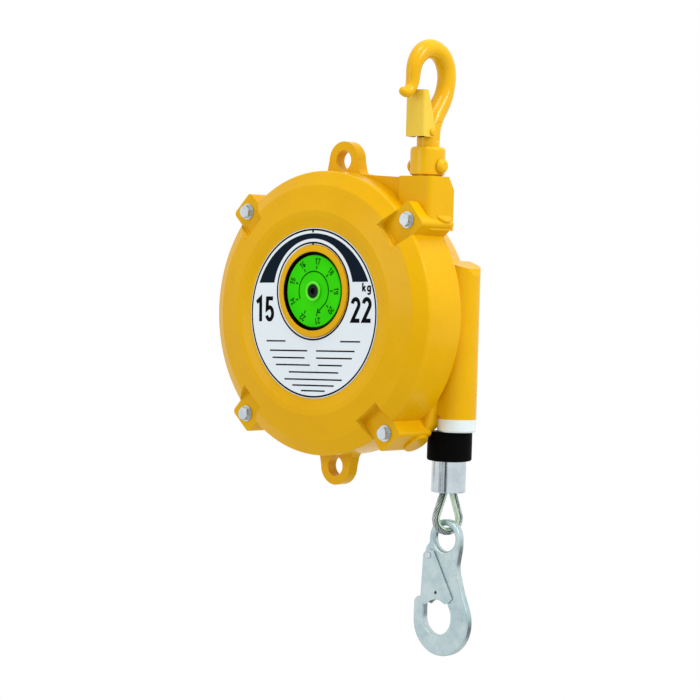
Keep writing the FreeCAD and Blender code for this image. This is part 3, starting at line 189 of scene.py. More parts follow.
def effect(name: str, outputs: Sequence[str], inputs: dict[str, float]) -> tuple[
        NodeTree, NodeSheet, Node, Node]:
    """Start a shared effect that reads a place and named amounts and puts out values.

    Args:
        name: The group's name.
        outputs: Names of its value outputs.
        inputs: Names of its amounts and what each is by default.

    Returns:
        The group, a sheet to draw on, and its input and output nodes.
    """
    tree = bpy.data.node_groups.new(name, "ShaderNodeTree")
    tree.interface.new_socket("Place", in_out="INPUT", socket_type="NodeSocketVector")
    for key, value in inputs.items():
        socket = tree.interface.new_socket(key, in_out="INPUT", socket_type=VALUE_SOCKET)
        socket.default_value = value
    for key in outputs:
        tree.interface.new_socket(key, in_out="OUTPUT", socket_type=VALUE_SOCKET)
    sheet = NodeSheet(tree)
    return tree, sheet, sheet.add("NodeGroupInput"), sheet.add("NodeGroupOutput")


class Effects:
    """The effects that several finishes share, each built once as a node group.

    The constants count a pattern's features per metre.
    """

    PEEL, GRAIN, CLOUD = 620.0, 165.0, 14.0
    SMUDGE, SCUFF_LONG, SCUFF_WIDE = 38.0, 420.0, 300.0
    FINENESS, BLOOM, PITS = 900.0, 85.0, 520.0

    def __init__(self) -> None:
        """Build all the groups."""
        self.casting = self._casting()
        self.handling = self._handling()
        self.plating = self._plating()

    def _casting(self) -> NodeTree:
        """Skin of an enamelled sand casting.

        Height is a fine orange peel plus a broader unevenness of the casting under it;
        Cloud is a slow change of the coat's thickness.

        Returns:
            The node group.
        """
        tree, sheet, entry, leave = effect("enamel_over_casting", ("Height", "Cloud"),
                                           {"Peel": 0.35, "Casting": 0.65})
        place = entry.outputs["Place"]
        high = sheet.calc("MULTIPLY", sheet.noise(place, self.PEEL, 1.0), entry.outputs["Peel"])
        grain = sheet.noise(place, self.GRAIN, 3.0, 0.55)
        low = sheet.calc("MULTIPLY", grain, entry.outputs["Casting"])
        sheet.join(sheet.calc("ADD", high, low), leave.inputs["Height"])
        cloud = sheet.noise(place, self.CLOUD, 3.0, 0.6)
        sheet.join(sheet.ramp(cloud, 0.35, 0.68), leave.inputs["Cloud"])
        return tree

    def _handling(self) -> NodeTree:
        """Marks of handling.

        Smudge is a soft patchwork that dulls the gloss; Scuff is a sparse set of short
        marks, where two stretched noises are both high.

        Returns:
            The node group.
        """
        tree, sheet, entry, leave = effect("handling_marks", ("Smudge", "Scuff"), {"Amount": 0.5})
        place, amount = entry.outputs["Place"], entry.outputs["Amount"]
        smudge = sheet.ramp(sheet.noise(place, self.SMUDGE, 4.0, 0.62), 0.42, 0.72)
        sheet.join(sheet.calc("MULTIPLY", smudge, amount), leave.inputs["Smudge"])
        first = sheet.noise(sheet.stretched(place, (1.0, 1.0, 0.16)), self.SCUFF_LONG, 1.0)
        second = sheet.noise(sheet.stretched(place, (0.22, 1.0, 1.0)), self.SCUFF_WIDE, 1.0)
        scuff = sheet.ramp(sheet.calc("MULTIPLY", first, second), 0.37, 0.46)
        sheet.join(sheet.calc("MULTIPLY", scuff, amount), leave.inputs["Scuff"])
        return tree

    def _plating(self) -> NodeTree:
        """Surface of plated or drawn steel.

        Lines is fine noise stretched along one axis, as drawing or turning leaves it;
        Bloom is the cloudy change of colour of a zinc coat; Pits is its fine tooth.

        Returns:
            The node group.
        """
        tree, sheet, entry, leave = effect("plated_steel", ("Lines", "Bloom", "Pits"),
                                           {"Fineness": self.FINENESS})
        place = entry.outputs["Place"]
        along = sheet.stretched(place, (1.0, 1.0, 0.05))
        sheet.join(sheet.noise(along, entry.outputs["Fineness"], 2.0), leave.inputs["Lines"])
        bloom = sheet.noise(place, self.BLOOM, 3.0, 0.6)
        sheet.join(sheet.ramp(bloom, 0.36, 0.66), leave.inputs["Bloom"])
        sheet.join(sheet.noise(place, self.PITS, 2.0, 0.6), leave.inputs["Pits"])
        return tree


# ------------------------------------------------------------------------------------
# finishes
# ------------------------------------------------------------------------------------
BUMP_STRENGTH = 0.6


@dataclass(frozen=True)
class Finish:
    """What every finish has: its name, two close colours and its gloss."""

    name: str
    colour: Colour
    second: Colour
    roughness: float = 0.4
    metallic: float = 0.0
    coat: float = 0.0
    coat_roughness: float = 0.1
    bump: float = 0.03
    amount: float = 0.4
    shine: float = 0.5

    def start(self, effects: Effects) -> tuple[Material, NodeSheet, Node,
                                               NodeSocket]:
        """Make the material with its shader and the place that patterns read.

        Args:
            effects: The shared effects; not used.

        Returns:
            The material, its sheet, its Principled shader and the Object coordinates.
        """
        material = bpy.data.materials.new(self.name)
        material.use_nodes = True
        sheet = NodeSheet(material.node_tree)
        shader = material.node_tree.nodes["Principled BSDF"]
        preset(shader, {"Metallic": self.metallic, "Roughness": self.roughness,
                        "Coat Weight": self.coat, "Coat Roughness": self.coat_roughness,
                        "Specular IOR Level": self.shine})
        place = sheet.add("ShaderNodeTexCoord").outputs["Object"]
        return material, sheet, shader, place

    def effect(self, sheet: NodeSheet, tree: NodeTree, place: NodeSocket,
               **amounts: float) -> Node:
        """Place a shared effect with this finish's own amounts."""
        node = sheet.add("ShaderNodeGroup", node_tree=tree)
        sheet.join(place, node.inputs["Place"])
        preset(node, amounts)
        return node

    def press(self, sheet: NodeSheet, shader: Node, height: NodeSocket) -> None:
        """Raise the surface by a height map of this finish's depth in millimetres."""
        bump = sheet.add("ShaderNodeBump")
        preset(bump, {"Strength": BUMP_STRENGTH, "Distance": self.bump * MM})
        sheet.join(height, bump.inputs["Height"])
        sheet.join(bump.outputs["Normal"], shader.inputs["Normal"])

    def worn(self, sheet: NodeSheet, shader: Node, marks: Node, share: float, body: NodeSocket,
             shade: Colour) -> None:
        """Colour the surface, with its scuffs a share of the way to another shade."""
        scuff = sheet.calc("MULTIPLY", marks.outputs["Scuff"], share)
        sheet.join(sheet.mixed(scuff, body, linear(shade)), shader.inputs["Base Color"])

    def smudged(self, sheet: NodeSheet, shader: Node, marks: Node, dulling: float) -> None:
        """Dull the gloss where the surface was handled."""
        rough = self.roughness
        gloss = sheet.ramp(marks.outputs["Smudge"], 0.0, 1.0, rough, rough + dulling)
        sheet.join(gloss, shader.inputs["Roughness"])

    def build(self, effects: Effects) -> Material:
        """Make the material; each kind of finish does this in its own way."""
        raise NotImplementedError


@dataclass(frozen=True)
class Enamel(Finish):
    """Gloss enamel on a casting or forging."""

    peel: float = 0.35
    casting: float = 0.65

    def build(self, effects: Effects) -> Material:
        """Colour drifts with the coat's thickness and gloss dulls where it was handled.

        Args:
            effects: The shared effects.

        Returns:
            The enamel.
        """
        material, sheet, shader, place = self.start(effects)
        skin = self.effect(sheet, effects.casting, place, Peel=self.peel, Casting=self.casting)
        marks = self.effect(sheet, effects.handling, place, Amount=self.amount)
        body = sheet.mixed(skin.outputs["Cloud"], linear(self.colour), linear(self.second))
        self.worn(sheet, shader, marks, 0.35, body, tuple(0.8 * c for c in self.second))
        self.smudged(sheet, shader, marks, 0.22)
        self.press(sheet, shader, skin.outputs["Height"])
        return material


@dataclass(frozen=True)
class Plating(Finish):
    """Zinc or bare steel, drawn, turned or tumbled."""

    fineness: float = Effects.FINENESS
    tooth: float = 0.5

    def build(self, effects: Effects) -> Material:
        """Colour blooms between two shades, and fine lines and pits break the gloss.

        Args:
            effects: The shared effects.

        Returns:
            The metal.
        """
        material, sheet, shader, place = self.start(effects)
        metal = self.effect(sheet, effects.plating, place, Fineness=self.fineness)
        marks = self.effect(sheet, effects.handling, place, Amount=self.amount)
        body = sheet.mixed(metal.outputs["Bloom"], linear(self.colour), linear(self.second))
        self.worn(sheet, shader, marks, 0.5, body, tuple(0.72 * c for c in self.colour))
        tooth = sheet.calc("MULTIPLY", metal.outputs["Pits"], self.tooth)
        lines = sheet.calc("MULTIPLY", metal.outputs["Lines"], 1.0 - self.tooth)
        height = sheet.calc("ADD", tooth, lines)
        gloss = sheet.ramp(height, 0.3, 0.7, self.roughness - 0.07, self.roughness + 0.1)
        sheet.join(gloss, shader.inputs["Roughness"])
        self.press(sheet, shader, height)
        return material


@dataclass(frozen=True)
class Moulded(Finish):
    """Moulded nylon, plastic or rubber."""

    grain: float = 700.0

    def build(self, effects: Effects) -> Material:
        """A fine mould grain, a slight drift of colour and dull patches from handling.

        Args:
            effects: The shared effects.

        Returns:
            The plastic or rubber.
        """
        material, sheet, shader, place = self.start(effects)
        marks = self.effect(sheet, effects.handling, place, Amount=self.amount)
        drift = sheet.ramp(sheet.noise(place, 55.0, 3.0), 0.35, 0.65)
        sheet.join(sheet.mixed(drift, linear(self.colour), linear(self.second)),
                   shader.inputs["Base Color"])
        self.smudged(sheet, shader, marks, 0.18)
        self.press(sheet, shader, sheet.noise(place, self.grain, 2.0))
        return material


YELLOW = Enamel("yellow_enamel", (0.90, 0.69, 0.015), (0.88, 0.66, 0.01), roughness=0.25, coat=0.06,
                coat_roughness=0.1, bump=0.045, shine=0.09)
YELLOW_FORGED = Enamel("yellow_enamel_forged", (0.91, 0.71, 0.03), (0.88, 0.66, 0.01),
                       roughness=0.2, coat=0.14, coat_roughness=0.07, bump=0.03, peel=0.25,
                       casting=0.75, shine=0.14)
YELLOW_PRESSED = Enamel("yellow_enamel_pressed", (0.93, 0.79, 0.26), (0.89, 0.74, 0.20),
                        roughness=0.34, coat=0.08, bump=0.03, peel=0.5, casting=0.5, shine=0.2)
ZINC = Plating("bright_zinc", (0.80, 0.83, 0.85), (0.73, 0.78, 0.82), roughness=0.26, metallic=1.0,
               bump=0.02, tooth=0.7)
ZINC_FORGED = Plating("zinc_on_forging", (0.76, 0.82, 0.83), (0.66, 0.75, 0.77), roughness=0.34,
                      metallic=0.9, bump=0.05, tooth=0.9, amount=0.6)
ZINC_SLEEVE = Plating("zinc_on_sleeve", (0.80, 0.84, 0.86), (0.74, 0.79, 0.82), roughness=0.17,
                      metallic=1.0, bump=0.01, tooth=0.2, fineness=1400.0, amount=0.25)
GALVANISED = Plating("galvanised_sheet", (0.82, 0.89, 0.81), (0.75, 0.84, 0.76), roughness=0.42,
                     metallic=0.6, bump=0.03, tooth=0.8)
ROPE_WIRE = Plating("rope_wire", (0.74, 0.78, 0.77), (0.56, 0.60, 0.61), roughness=0.3,
                    metallic=1.0, bump=0.02, tooth=0.5)
TURNED_STEEL = Plating("turned_steel", (0.62, 0.63, 0.65), (0.56, 0.57, 0.6), roughness=0.32,
                       metallic=1.0, bump=0.02, tooth=0.2)
SPRING_STEEL = Plating("blued_spring_steel", (0.32, 0.34, 0.38), (0.25, 0.27, 0.33), roughness=0.35,
                       metallic=1.0, bump=0.02)
BRONZE = Plating("sintered_bronze", (0.66, 0.5, 0.25), (0.58, 0.43, 0.21), roughness=0.45,
                 metallic=1.0, bump=0.04, tooth=0.9)
GREY_IRON = Plating("grey_iron", (0.36, 0.37, 0.38), (0.29, 0.3, 0.31), roughness=0.55,
                    metallic=0.9, bump=0.08, tooth=0.9)
BLACK_OXIDE = Enamel("black_oxide", (0.05, 0.05, 0.055), (0.035, 0.035, 0.04), roughness=0.42,
                     bump=0.02, shine=0.15)
NYLON = Moulded("white_nylon", (0.90, 0.94, 0.94), (0.87, 0.91, 0.92), roughness=0.38, bump=0.02)
GREEN = Moulded("green_plastic", (0.22, 0.86, 0.01), (0.18, 0.82, 0.01), roughness=0.4, bump=0.015,
                amount=0.3, shine=0.05)
# Dial's raised marks: the dial's own green plastic made darker, as painted shade along the embossed
# lines.
GREEN_RELIEF_PAINTED_SHADE = Moulded("green_relief_painted_shade", (0.03, 0.36, 0.02), (0.02, 0.3, 0.01), roughness=0.45,
                       bump=0.01, shine=0.05)
# Collar round the adjuster: the dial's green made paler and glossier, as a painted highlight on the
# hub's rim.
GREEN_PAINTED_HIGHLIGHT = Moulded("green_collar_painted_highlight", (0.42, 0.93, 0.2), (0.36, 0.9, 0.14), roughness=0.35,
                     bump=0.01, shine=0.3)
RUBBER = Moulded("black_rubber", (0.012, 0.013, 0.014), (0.02, 0.021, 0.023), roughness=0.6,
                 bump=0.05, grain=520.0, shine=0.035)
PLATE_WHITE = Enamel("white_plate", (0.91, 0.945, 0.965), (0.89, 0.93, 0.955), roughness=0.3,
                     coat=0.1, bump=0.008, amount=0.25, shine=0.3)
NAVY_PRINT = Enamel("navy_print", (0.055, 0.11, 0.165), (0.05, 0.10, 0.15), roughness=0.4,
                    bump=0.006, amount=0.2, shine=0.03)
BLACK_PRINT = Enamel("black_print", (0.03, 0.04, 0.055), (0.02, 0.03, 0.045), roughness=0.45,
                     bump=0.006, amount=0.2, shine=0.03)

SLOT_FINISH: dict[str, Finish] = {
    "yellow_paint": YELLOW, "zinc_steel": ZINC, "plain_steel": TURNED_STEEL, "wire_rope": ROPE_WIRE,
    "bronze": BRONZE, "white_nylon": NYLON, "green_plastic": GREEN, "black_rubber": RUBBER,
    "black_oxide": BLACK_OXIDE, "white_plate": PLATE_WHITE, "galvanised": GALVANISED,
    "spring_steel": SPRING_STEEL, "grey_iron": GREY_IRON,
}
NODE_FINISH: dict[str, Finish] = {
    "upper_hook": YELLOW_FORGED, "hook_socket": YELLOW_FORGED, "socket_cross_pin": YELLOW_FORGED,
    "upper_latch_pin": YELLOW_FORGED, "upper_latch": YELLOW_PRESSED, "load_hook": ZINC_FORGED,
    "load_latch": ZINC_FORGED, "rope_ferrule": ZINC_SLEEVE,
}


class Paintshop:
    """Keeps one material for each finish."""

    def __init__(self) -> None:
        """Build the shared effects."""
        self.effects = Effects()
        self.made: dict[str, Material] = {}

    def material(self, finish: Finish) -> Material:
        """The material of a finish, built when it is first asked for."""
        if finish.name not in self.made:
            self.made[finish.name] = finish.build(self.effects)
        return self.made[finish.name]

    def dress(self, obj: Object, finish: Finish) -> None:
        """Give a piece one finish all over."""
        obj.data.materials.clear()
        obj.data.materials.append(self.material(finish))

    def make(self, name: str, points: np.ndarray, faces: Sequence[np.ndarray], smooth: bool,
             finish: Finish) -> Object:
        """Make a mesh piece with a finish; the first four arguments are mesh_piece's."""
        piece = mesh_piece(name, points, faces, smooth)
        self.dress(piece, finish)
        LOG.info("%s: %d faces", name, len(piece.data.polygons))
        return piece


# ------------------------------------------------------------------------------------
# surfaces
# ------------------------------------------------------------------------------------
class Close(Enum):
    """Whether a grid of points runs round or ends at its last column."""

    OPEN = "open"
    ROUND = "round"


def grid_faces(rows: int, columns: int, close: Close, first: int = 0) -> np.ndarray:
    """Four-sided faces of a grid: each joins a point to its neighbours in row and column.

    Args:
        rows: Points along the first parameter.
        columns: Points along the second parameter.
        close: Whether the last column joins the first.
        first: Index of the grid's first point.

    Returns:
        One row of four indices for each face.
    """
    across = columns if close is Close.ROUND else columns - 1
    i, j = np.meshgrid(np.arange(rows - 1), np.arange(across), indexing="ij")
    after = (j + 1) % columns
    faces = np.stack([i * columns + j, i * columns + after, (i + 1) * columns + after,
                      (i + 1) * columns + j], axis=-1)
    return faces.reshape(-1, 4) + first


def capped_faces(rows: int, columns: int, first: int = 0) -> list[np.ndarray]:
    """Faces of a grid whose columns run round, with one face over each end.

    Args:
        rows: Number of rings.
        columns: Points in each ring.
        first: Index of the grid's first point.

    Returns:
        The sides and the two end faces.
    """
    ring = np.arange(columns)[None, :] + first
    return [grid_faces(rows, columns, Close.ROUND, first), ring[:, ::-1],
            ring + (rows - 1) * columns]


def unit(rows: np.ndarray) -> np.ndarray:
    """Rows of vectors, each brought to length 1."""
    return rows / np.linalg.norm(rows, axis=1, keepdims=True)


def swept(path: np.ndarray, first: np.ndarray, second: np.ndarray, u: np.ndarray,
          v: np.ndarray) -> np.ndarray:
    """Rings of a section carried along a path: path + u first + v second.

    Args:
        path: Points of the path.
        first: Direction of u at each point.
        second: Direction of v at each point.
        u: The section's first coordinates, in one row or in one for each point.
        v: Its second coordinates.

    Returns:
        The points, by place on the path and place on the section.
    """
    return path[:, None] + u[..., None] * first[:, None] + v[..., None] * second[:, None]


def mesh_piece(name: str, points: np.ndarray, faces: Sequence[np.ndarray],
               smooth: bool) -> Object:
    """Put arrays of points and faces into a mesh piece at the origin.

    Args:
        name: The piece's name.
        points: One row of x, y and z for each point.
        faces: Arrays of faces, each with its own number of corners.
        smooth: Whether the shading runs smoothly over the faces.

    Returns:
        The new object, linked to the scene.
    """
    mesh = bpy.data.meshes.new(name)
    mesh.from_pydata(points.tolist(), [], [row for block in faces for row in block.tolist()])
    mesh.polygons.foreach_set("use_smooth", np.full(len(mesh.polygons), smooth))
    mesh.update()
    mesh.validate()
    piece = bpy.data.objects.new(name, mesh)
    bpy.context.scene.collection.objects.link(piece)
    return piece


def bow(x: float, y: float, rx: float, ry: float, start: float, end: float,
        count: int = 15) -> np.ndarray:
    """Part of an ellipse: (x + rx cos a, y + ry sin a) for evenly spaced angles in degrees."""
    angle = np.radians(np.linspace(start, end, count))
    return np.stack([x + rx * np.cos(angle), y + ry * np.sin(angle)], axis=1)


def circle_points(centre: Sequence[float], radius: float, start: float, end: float,
                  count: int) -> np.ndarray:
    """Points on a circle from one angle in degrees to another, evenly."""
    return bow(*centre, radius, radius, start, end, count)


MITRE_LIMIT = 0.45  # least cosine that a corner is stretched by


def ribbon_edges(line: np.ndarray, width: float, closed: bool) -> tuple[np.ndarray, np.ndarray]:
    """The two edges of a band of even width along a line.

    At each point the band's side direction is the line's direction turned a quarter turn,
    and at a corner it is longer by one over the cosine of half the turn, so that the width
    stays even.

    Args:
        line: Points of the middle line.
        width: The band's width.
        closed: Whether the line's ends meet.

    Returns:
        The left and the right edge.
    """
    if closed:
        before, after = line - np.roll(line, 1, axis=0), np.roll(line, -1, axis=0) - line
    else:
        run = np.diff(line, axis=0)
        before, after = np.vstack([run[:1], run]), np.vstack([run, run[-1:]])
    middle = unit(unit(before) + unit(after))
    stretch = np.clip(np.sum(middle * unit(after), axis=1, keepdims=True), MITRE_LIMIT, 1.0)
    side = np.stack([-middle[:, 1], middle[:, 0]], axis=1) * width / 2 / stretch
    return line + side, line - side


@dataclass(frozen=True)
class Face:
    """A flat face that looks forwards, with its own middle, on which marks are laid."""

    x: float
    y: float
    z: float
    turn: float = 0.0

    def place(self, flat: np.ndarray, lift: float) -> np.ndarray:
        """Stand flat millimetre points on the face, lifted off it towards the front.

        Args:
            flat: Points across and up, in millimetres from the face's middle.
            lift: How far in front of the face they lie, in millimetres.

        Returns:
            Points in the row frame, in metres.
        """
        front = np.full(len(flat), self.y - lift * MM)
        sine, cosine = math.sin(math.radians(self.turn)), math.cos(math.radians(self.turn))
        across = flat[:, 0] * cosine - flat[:, 1] * sine
        up = flat[:, 0] * sine + flat[:, 1] * cosine
        return np.stack([self.x + across * MM, front, self.z + up * MM], axis=1)


class Marks:
    """Marks collected for one piece: flat bands, or low ridges with sloping sides."""

    CREST = 0.55  # width of a ridge's top as a share of its foot
    SUNK = -0.02  # height of a ridge's foot, in millimetres

    def __init__(self, name: str, face: Face, lift: float, height: float = 0.0) -> None:
        """Start a piece of marks.

        Args:
            name: The piece's name.
            face: The face that the marks lie on.
            lift: Height of the marks over the face, in millimetres.
            height: Height of a ridge's sides, or 0 for print.
        """
        self.name, self.face, self.lift, self.height = name, face, lift, height
        self.points: list[np.ndarray] = []
        self.faces: list[np.ndarray] = []
        self.count = 0

    def sheet(self, rows: Sequence[tuple[np.ndarray, float]], closed: bool = False) -> None:
        """Add a surface that is carried from one edge line to the next.

        Args:
            rows: Edge lines of equal length, each with its height over the face.
            closed: Whether the lines' ends meet.
        """
        placed = np.stack([self.face.place(line, lift) for line, lift in rows], axis=1)
        length = len(rows[0][0])
        if closed:
            placed = np.concatenate([placed, placed[:1]], axis=0)
            length += 1
        self.points.append(placed.reshape(-1, 3))
        self.faces.append(grid_faces(length, len(rows), Close.OPEN, self.count))
        self.count += length * len(rows)

    def band(self, line: np.ndarray, width: float, closed: bool = False) -> None:
        """Add a band along a line; with a height it is a ridge that is narrower on top."""
        left, right = ribbon_edges(line, width, closed)
        if not self.height:
            self.sheet([(left, self.lift), (right, self.lift)], closed)
            return
        crest_left, crest_right = ribbon_edges(line, self.CREST * width, closed)
        self.sheet([(left, self.SUNK), (crest_left, self.height), (crest_right, self.height),
                    (right, self.SUNK)], closed)

    def finish(self, shop: Paintshop, finish: Finish) -> Object:
        """Turn the collected marks into one piece with a finish."""
        return shop.make(self.name, np.concatenate(self.points), self.faces, False, finish)


# ------------------------------------------------------------------------------------
# signs, drawn as the middle lines of their strokes, in runs and parts of ellipses 1 high
# ------------------------------------------------------------------------------------
def joined_line(*parts: np.ndarray) -> np.ndarray:
    """One line from several, without doubled points where they meet."""
    line = np.concatenate(parts)
    keep = np.concatenate([[True], np.linalg.norm(np.diff(line, axis=0), axis=1) > 1e-4])
    return line[keep]


SIX = bow(0.21, 0.28, 0.16, 0.21, 100, 460, 25)
SIGN_BOX = 0.42  # width of a sign's box, as a share of its height
SIGNS: dict[str, Strokes] = {
    "0": [bow(0.21, 0.5, 0.16, 0.43, 0, 359, 31)],
    "1": [np.array([[0.06, 0.76], [0.26, 0.93], [0.26, 0.0]])],
    "2": [joined_line(bow(0.21, 0.72, 0.16, 0.2, 172, -35),
                      np.array([[0.05, 0.08], [0.40, 0.08]]))],
    "4": [np.array([[0.31, 0.0], [0.31, 0.92], [0.03, 0.3], [0.42, 0.3]])],
    "5": [joined_line(np.array([[0.38, 0.92], [0.09, 0.92], [0.07, 0.5]]),
                      bow(0.20, 0.32, 0.16, 0.245, 118, -160))],
    "6": [joined_line(bow(0.24, 0.6, 0.19, 0.33, 60, 180), SIX[12:], SIX[:13])],
    "7": [np.array([[0.03, 0.92], [0.39, 0.92], [0.15, 0.0]])],
    "8": [bow(0.21, 0.7, 0.14, 0.21, -90, 269, 25), bow(0.21, 0.28, 0.17, 0.21, 91, 450, 25)],
    "9": [bow(0.21, 0.69, 0.16, 0.22, 0, 359, 25), bow(0.18, 0.37, 0.19, 0.33, 15, -120)],
    "k": [np.array([[0.06, 1.0], [0.06, 0.0]]), np.array([[0.36, 0.62], [0.1, 0.3]]),
          np.array([[0.16, 0.38], [0.38, 0.0]])],
    "g": [bow(0.2, 0.33, 0.15, 0.27, 0, 359, 25),
          joined_line(np.array([[0.36, 0.66], [0.36, -0.08]]), bow(0.2, -0.1, 0.16, 0.2, 0, -150))],
}


def lettering(marks: Marks, text: str, middle: Sequence[float], height: float, pitch: float,
              width: float, weight: float, turn: float = 0.0) -> None:
    """Set a word of numerals as bands on a piece of marks.

    Args:
        marks: The piece that takes them.
        text: The signs, in order.
        middle: Middle of the word, in millimetres on the face.
        height: Height of the signs in millimetres.
        pitch: Distance from sign to sign in millimetres.
        width: Width of a sign's box in millimetres.
        weight: Width of the strokes in millimetres.
        turn: Angle that the word is turned by, in degrees.
    """
    angle = math.radians(turn)
    rotate = np.array([[math.cos(angle), math.sin(angle)], [-math.sin(angle), math.cos(angle)]])
    for k, sign in enumerate(text):
        shift = (k - (len(text) - 1) / 2) * pitch - width / 2
        for line in SIGNS[sign]:
            flat = (line / (SIGN_BOX, 1) - (0, 0.5)) * (width, height) + (shift, 0)
            marks.band(flat @ rotate + np.array(middle), weight)


# ------------------------------------------------------------------------------------
# sub-assemblies
# ------------------------------------------------------------------------------------
def drum_axis() -> np.ndarray:
    """Where the drum axis meets the cover's joint: the middle of the plate's face."""
    low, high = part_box("rating_plate")
    return np.array([(low.x + high.x) / 2, low.y, (low.z + high.z) / 2])


def dial_rise() -> float:
    """Height of the dial's axis over the drum axis, in millimetres."""
    low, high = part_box("dial")
    return ((low.z + high.z) / 2 - drum_axis()[2]) / MM


@dataclass
class RatingPrint:
    """Print on the rating plate, in millimetres from the plate's middle."""

    shop: Paintshop
    lift: float = 0.06
    turn: float = 1.8
    outer_r: float = 70.0
    inner_r: float = 40.6
    line_w: float = 1.5
    index_w: float = 1.9
    index_h: float = 2.4
    crescent_out_r: float = 66.9
    crescent_in_r: float = 45.0
    crescent_drop: float = 1.1
    crescent_z: float = 25.9
    figure_h: float = 21.2
    figure_w: float = 9.4
    figure_pitch: tuple[float, float] = (11.8, 12.2)
    figure_weight: float = 3.5
    low_mark: tuple[float, float] = (-55.4, 3.6)
    high_mark: tuple[float, float] = (54.0, 2.8)
    unit_mark: tuple[float, float] = (59.8, 21.6)
    unit_size: tuple[float, float, float, float] = (7.2, 5.4, 4.0, 1.6)
    rule_w: float = 1.25
    rules: tuple[tuple[float, float, float], ...] = (
        (-23.5, -53.0, -31.0), (-23.5, 31.0, 53.0),
        (-31.5, -49.0, -6.0), (-31.5, 4.0, 47.0), (-37.5, -46.0, -9.0), (-37.5, 4.0, 44.0),
        (-43.5, -42.0, -3.0), (-43.5, 6.0, 33.0), (-49.5, -27.0, 29.0), (-55.5, -32.0, 33.0),
        (-60.5, -23.0, 24.0), (-65.0, -13.0, 14.0))

    def build(self) -> list[Object]:
        """Lay the print on the plate.

        Returns:
            The black lines and figures, and the navy crescent.
        """
        face, rise = Face(*drum_axis(), self.turn), dial_rise()
        black = Marks("rating_plate_print", face, self.lift)
        black.band(circle_points((0, 0), self.outer_r, 0, 358, 180), self.line_w, True)
        black.band(circle_points((0, rise), self.inner_r, 0, 357, 120), self.line_w, True)
        for top in (self.outer_r, rise + self.inner_r):
            black.band(np.array([[0.0, top - self.index_h], [0.0, top]]), self.index_w)
        words = (("15", self.low_mark), ("22", self.high_mark))
        for (text, middle), pitch in zip(words, self.figure_pitch):
            lettering(black, text, middle, self.figure_h, pitch, self.figure_w, self.figure_weight)
        lettering(black, "kg", self.unit_mark, *self.unit_size)
        for z, start, end in self.rules:
            black.band(np.array([[start, z], [end, z]]), self.rule_w)
        navy = Marks("rating_plate_crescent", face, self.lift)
        navy.sheet(self.crescent(rise))
        pieces = [black.finish(self.shop, BLACK_PRINT), navy.finish(self.shop, NAVY_PRINT)]
        for piece in pieces:
            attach(piece, "case")
        return pieces

    def crescent(self, rise: float) -> list[tuple[np.ndarray, float]]:
        """Edge lines of the crescent, between a circle about the plate's middle and a
        smaller one just below the dial's middle, both cut off at one level.

        Args:
            rise: Height of the dial's middle over the plate's middle.

        Returns:
            Lines from the outer to the inner edge, each with its height over the face.
        """
        rise -= self.crescent_drop
        out_end = math.degrees(math.asin(self.crescent_z / self.crescent_out_r))
        in_end = math.degrees(math.asin((self.crescent_z - rise) / self.crescent_in_r))
        outer = circle_points((0, 0), self.crescent_out_r, 180 - out_end, out_end, 96)
        inner = circle_points((0, rise), self.crescent_in_r, 180 - in_end, in_end, 96)
        shares = np.linspace(0, 1, 4)
        return [(outer * (1 - s) + inner * s, self.lift) for s in shares]


@dataclass
class DialRelief:
    """Raised marks on the dial in a darker green of painted shade: an arc with an arrow head, ticks
    and numerals.
    """

    shop: Paintshop
    arc_r: float = 16.6
    arc_start: float = 204.0
    arc_end: float = -36.0
    arrow_tip: tuple[float, float] = (4.7, -17.8)
    arrow_head: tuple[float, float] = (3.6, 38.0)
    collar: tuple[float, float] = (7.4, 1.9)
    numeral_size: tuple[float, float, float, float] = (5.2, 3.1, 2.6, 0.95)
    face_depth: float = 1.2
    boss_depth: float = 0.05
    height: float = 0.3
    line_w: float = 1.15
    tick: tuple[float, float] = (18.6, 21.4)
    angles: tuple[float, ...] = (202.0, 162.0, 122.0, 82.0, 42.0, 2.0, -38.0, -78.0, -118.0)
    numeral_r: float = 25.3
    first_value: int = 14

    def build(self) -> list[Object]:
        """Raise the marks on the dial's face.

        Returns:
            The marks in painted shade, and the collar round the adjuster in painted highlight.
        """
        low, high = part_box("dial")
        x, z = (low.x + high.x) / 2, (low.z + high.z) / 2
        marks = Marks("dial_relief", Face(x, low.y + self.face_depth * MM, z), 0.0, self.height)
        arc = circle_points((0, 0), self.arc_r, self.arc_start, self.arc_end, 90)
        marks.band(arc, self.line_w)
        tip = np.array(self.arrow_tip)
        marks.band(np.stack([arc[-1], tip]), self.line_w)
        heading = math.degrees(math.atan2(*(arc[-1] - tip)[::-1]))
        length, lean = self.arrow_head
        for angle in (heading - lean, heading + lean):
            back = circle_points(tip, length, angle, angle, 1)[0]
            marks.band(np.stack([tip, back]), self.line_w)
        for k, angle in enumerate(self.angles):
            ray = circle_points((0, 0), 1.0, angle, angle, 1)
            marks.band(np.array(self.tick)[:, None] * ray, self.line_w)
            lettering(marks, str(self.first_value + k), ray[0] * self.numeral_r, *self.numeral_size,
                      angle - 90)
        boss = Face(x, low.y + self.boss_depth * MM, z)
        collar = Marks("dial_hub_collar", boss, 0.0, self.height)
        radius, width = self.collar
        collar.band(circle_points((0, 0), radius, 0, 355, 72), width, True)
        # The marks' darker green is painted shade; the collar's paler green is painted highlight.
        pieces = [marks.finish(self.shop, GREEN_RELIEF_PAINTED_SHADE), collar.finish(self.shop, GREEN_PAINTED_HIGHLIGHT)]
        for piece in pieces:
            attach(piece, "indicator")
        return pieces


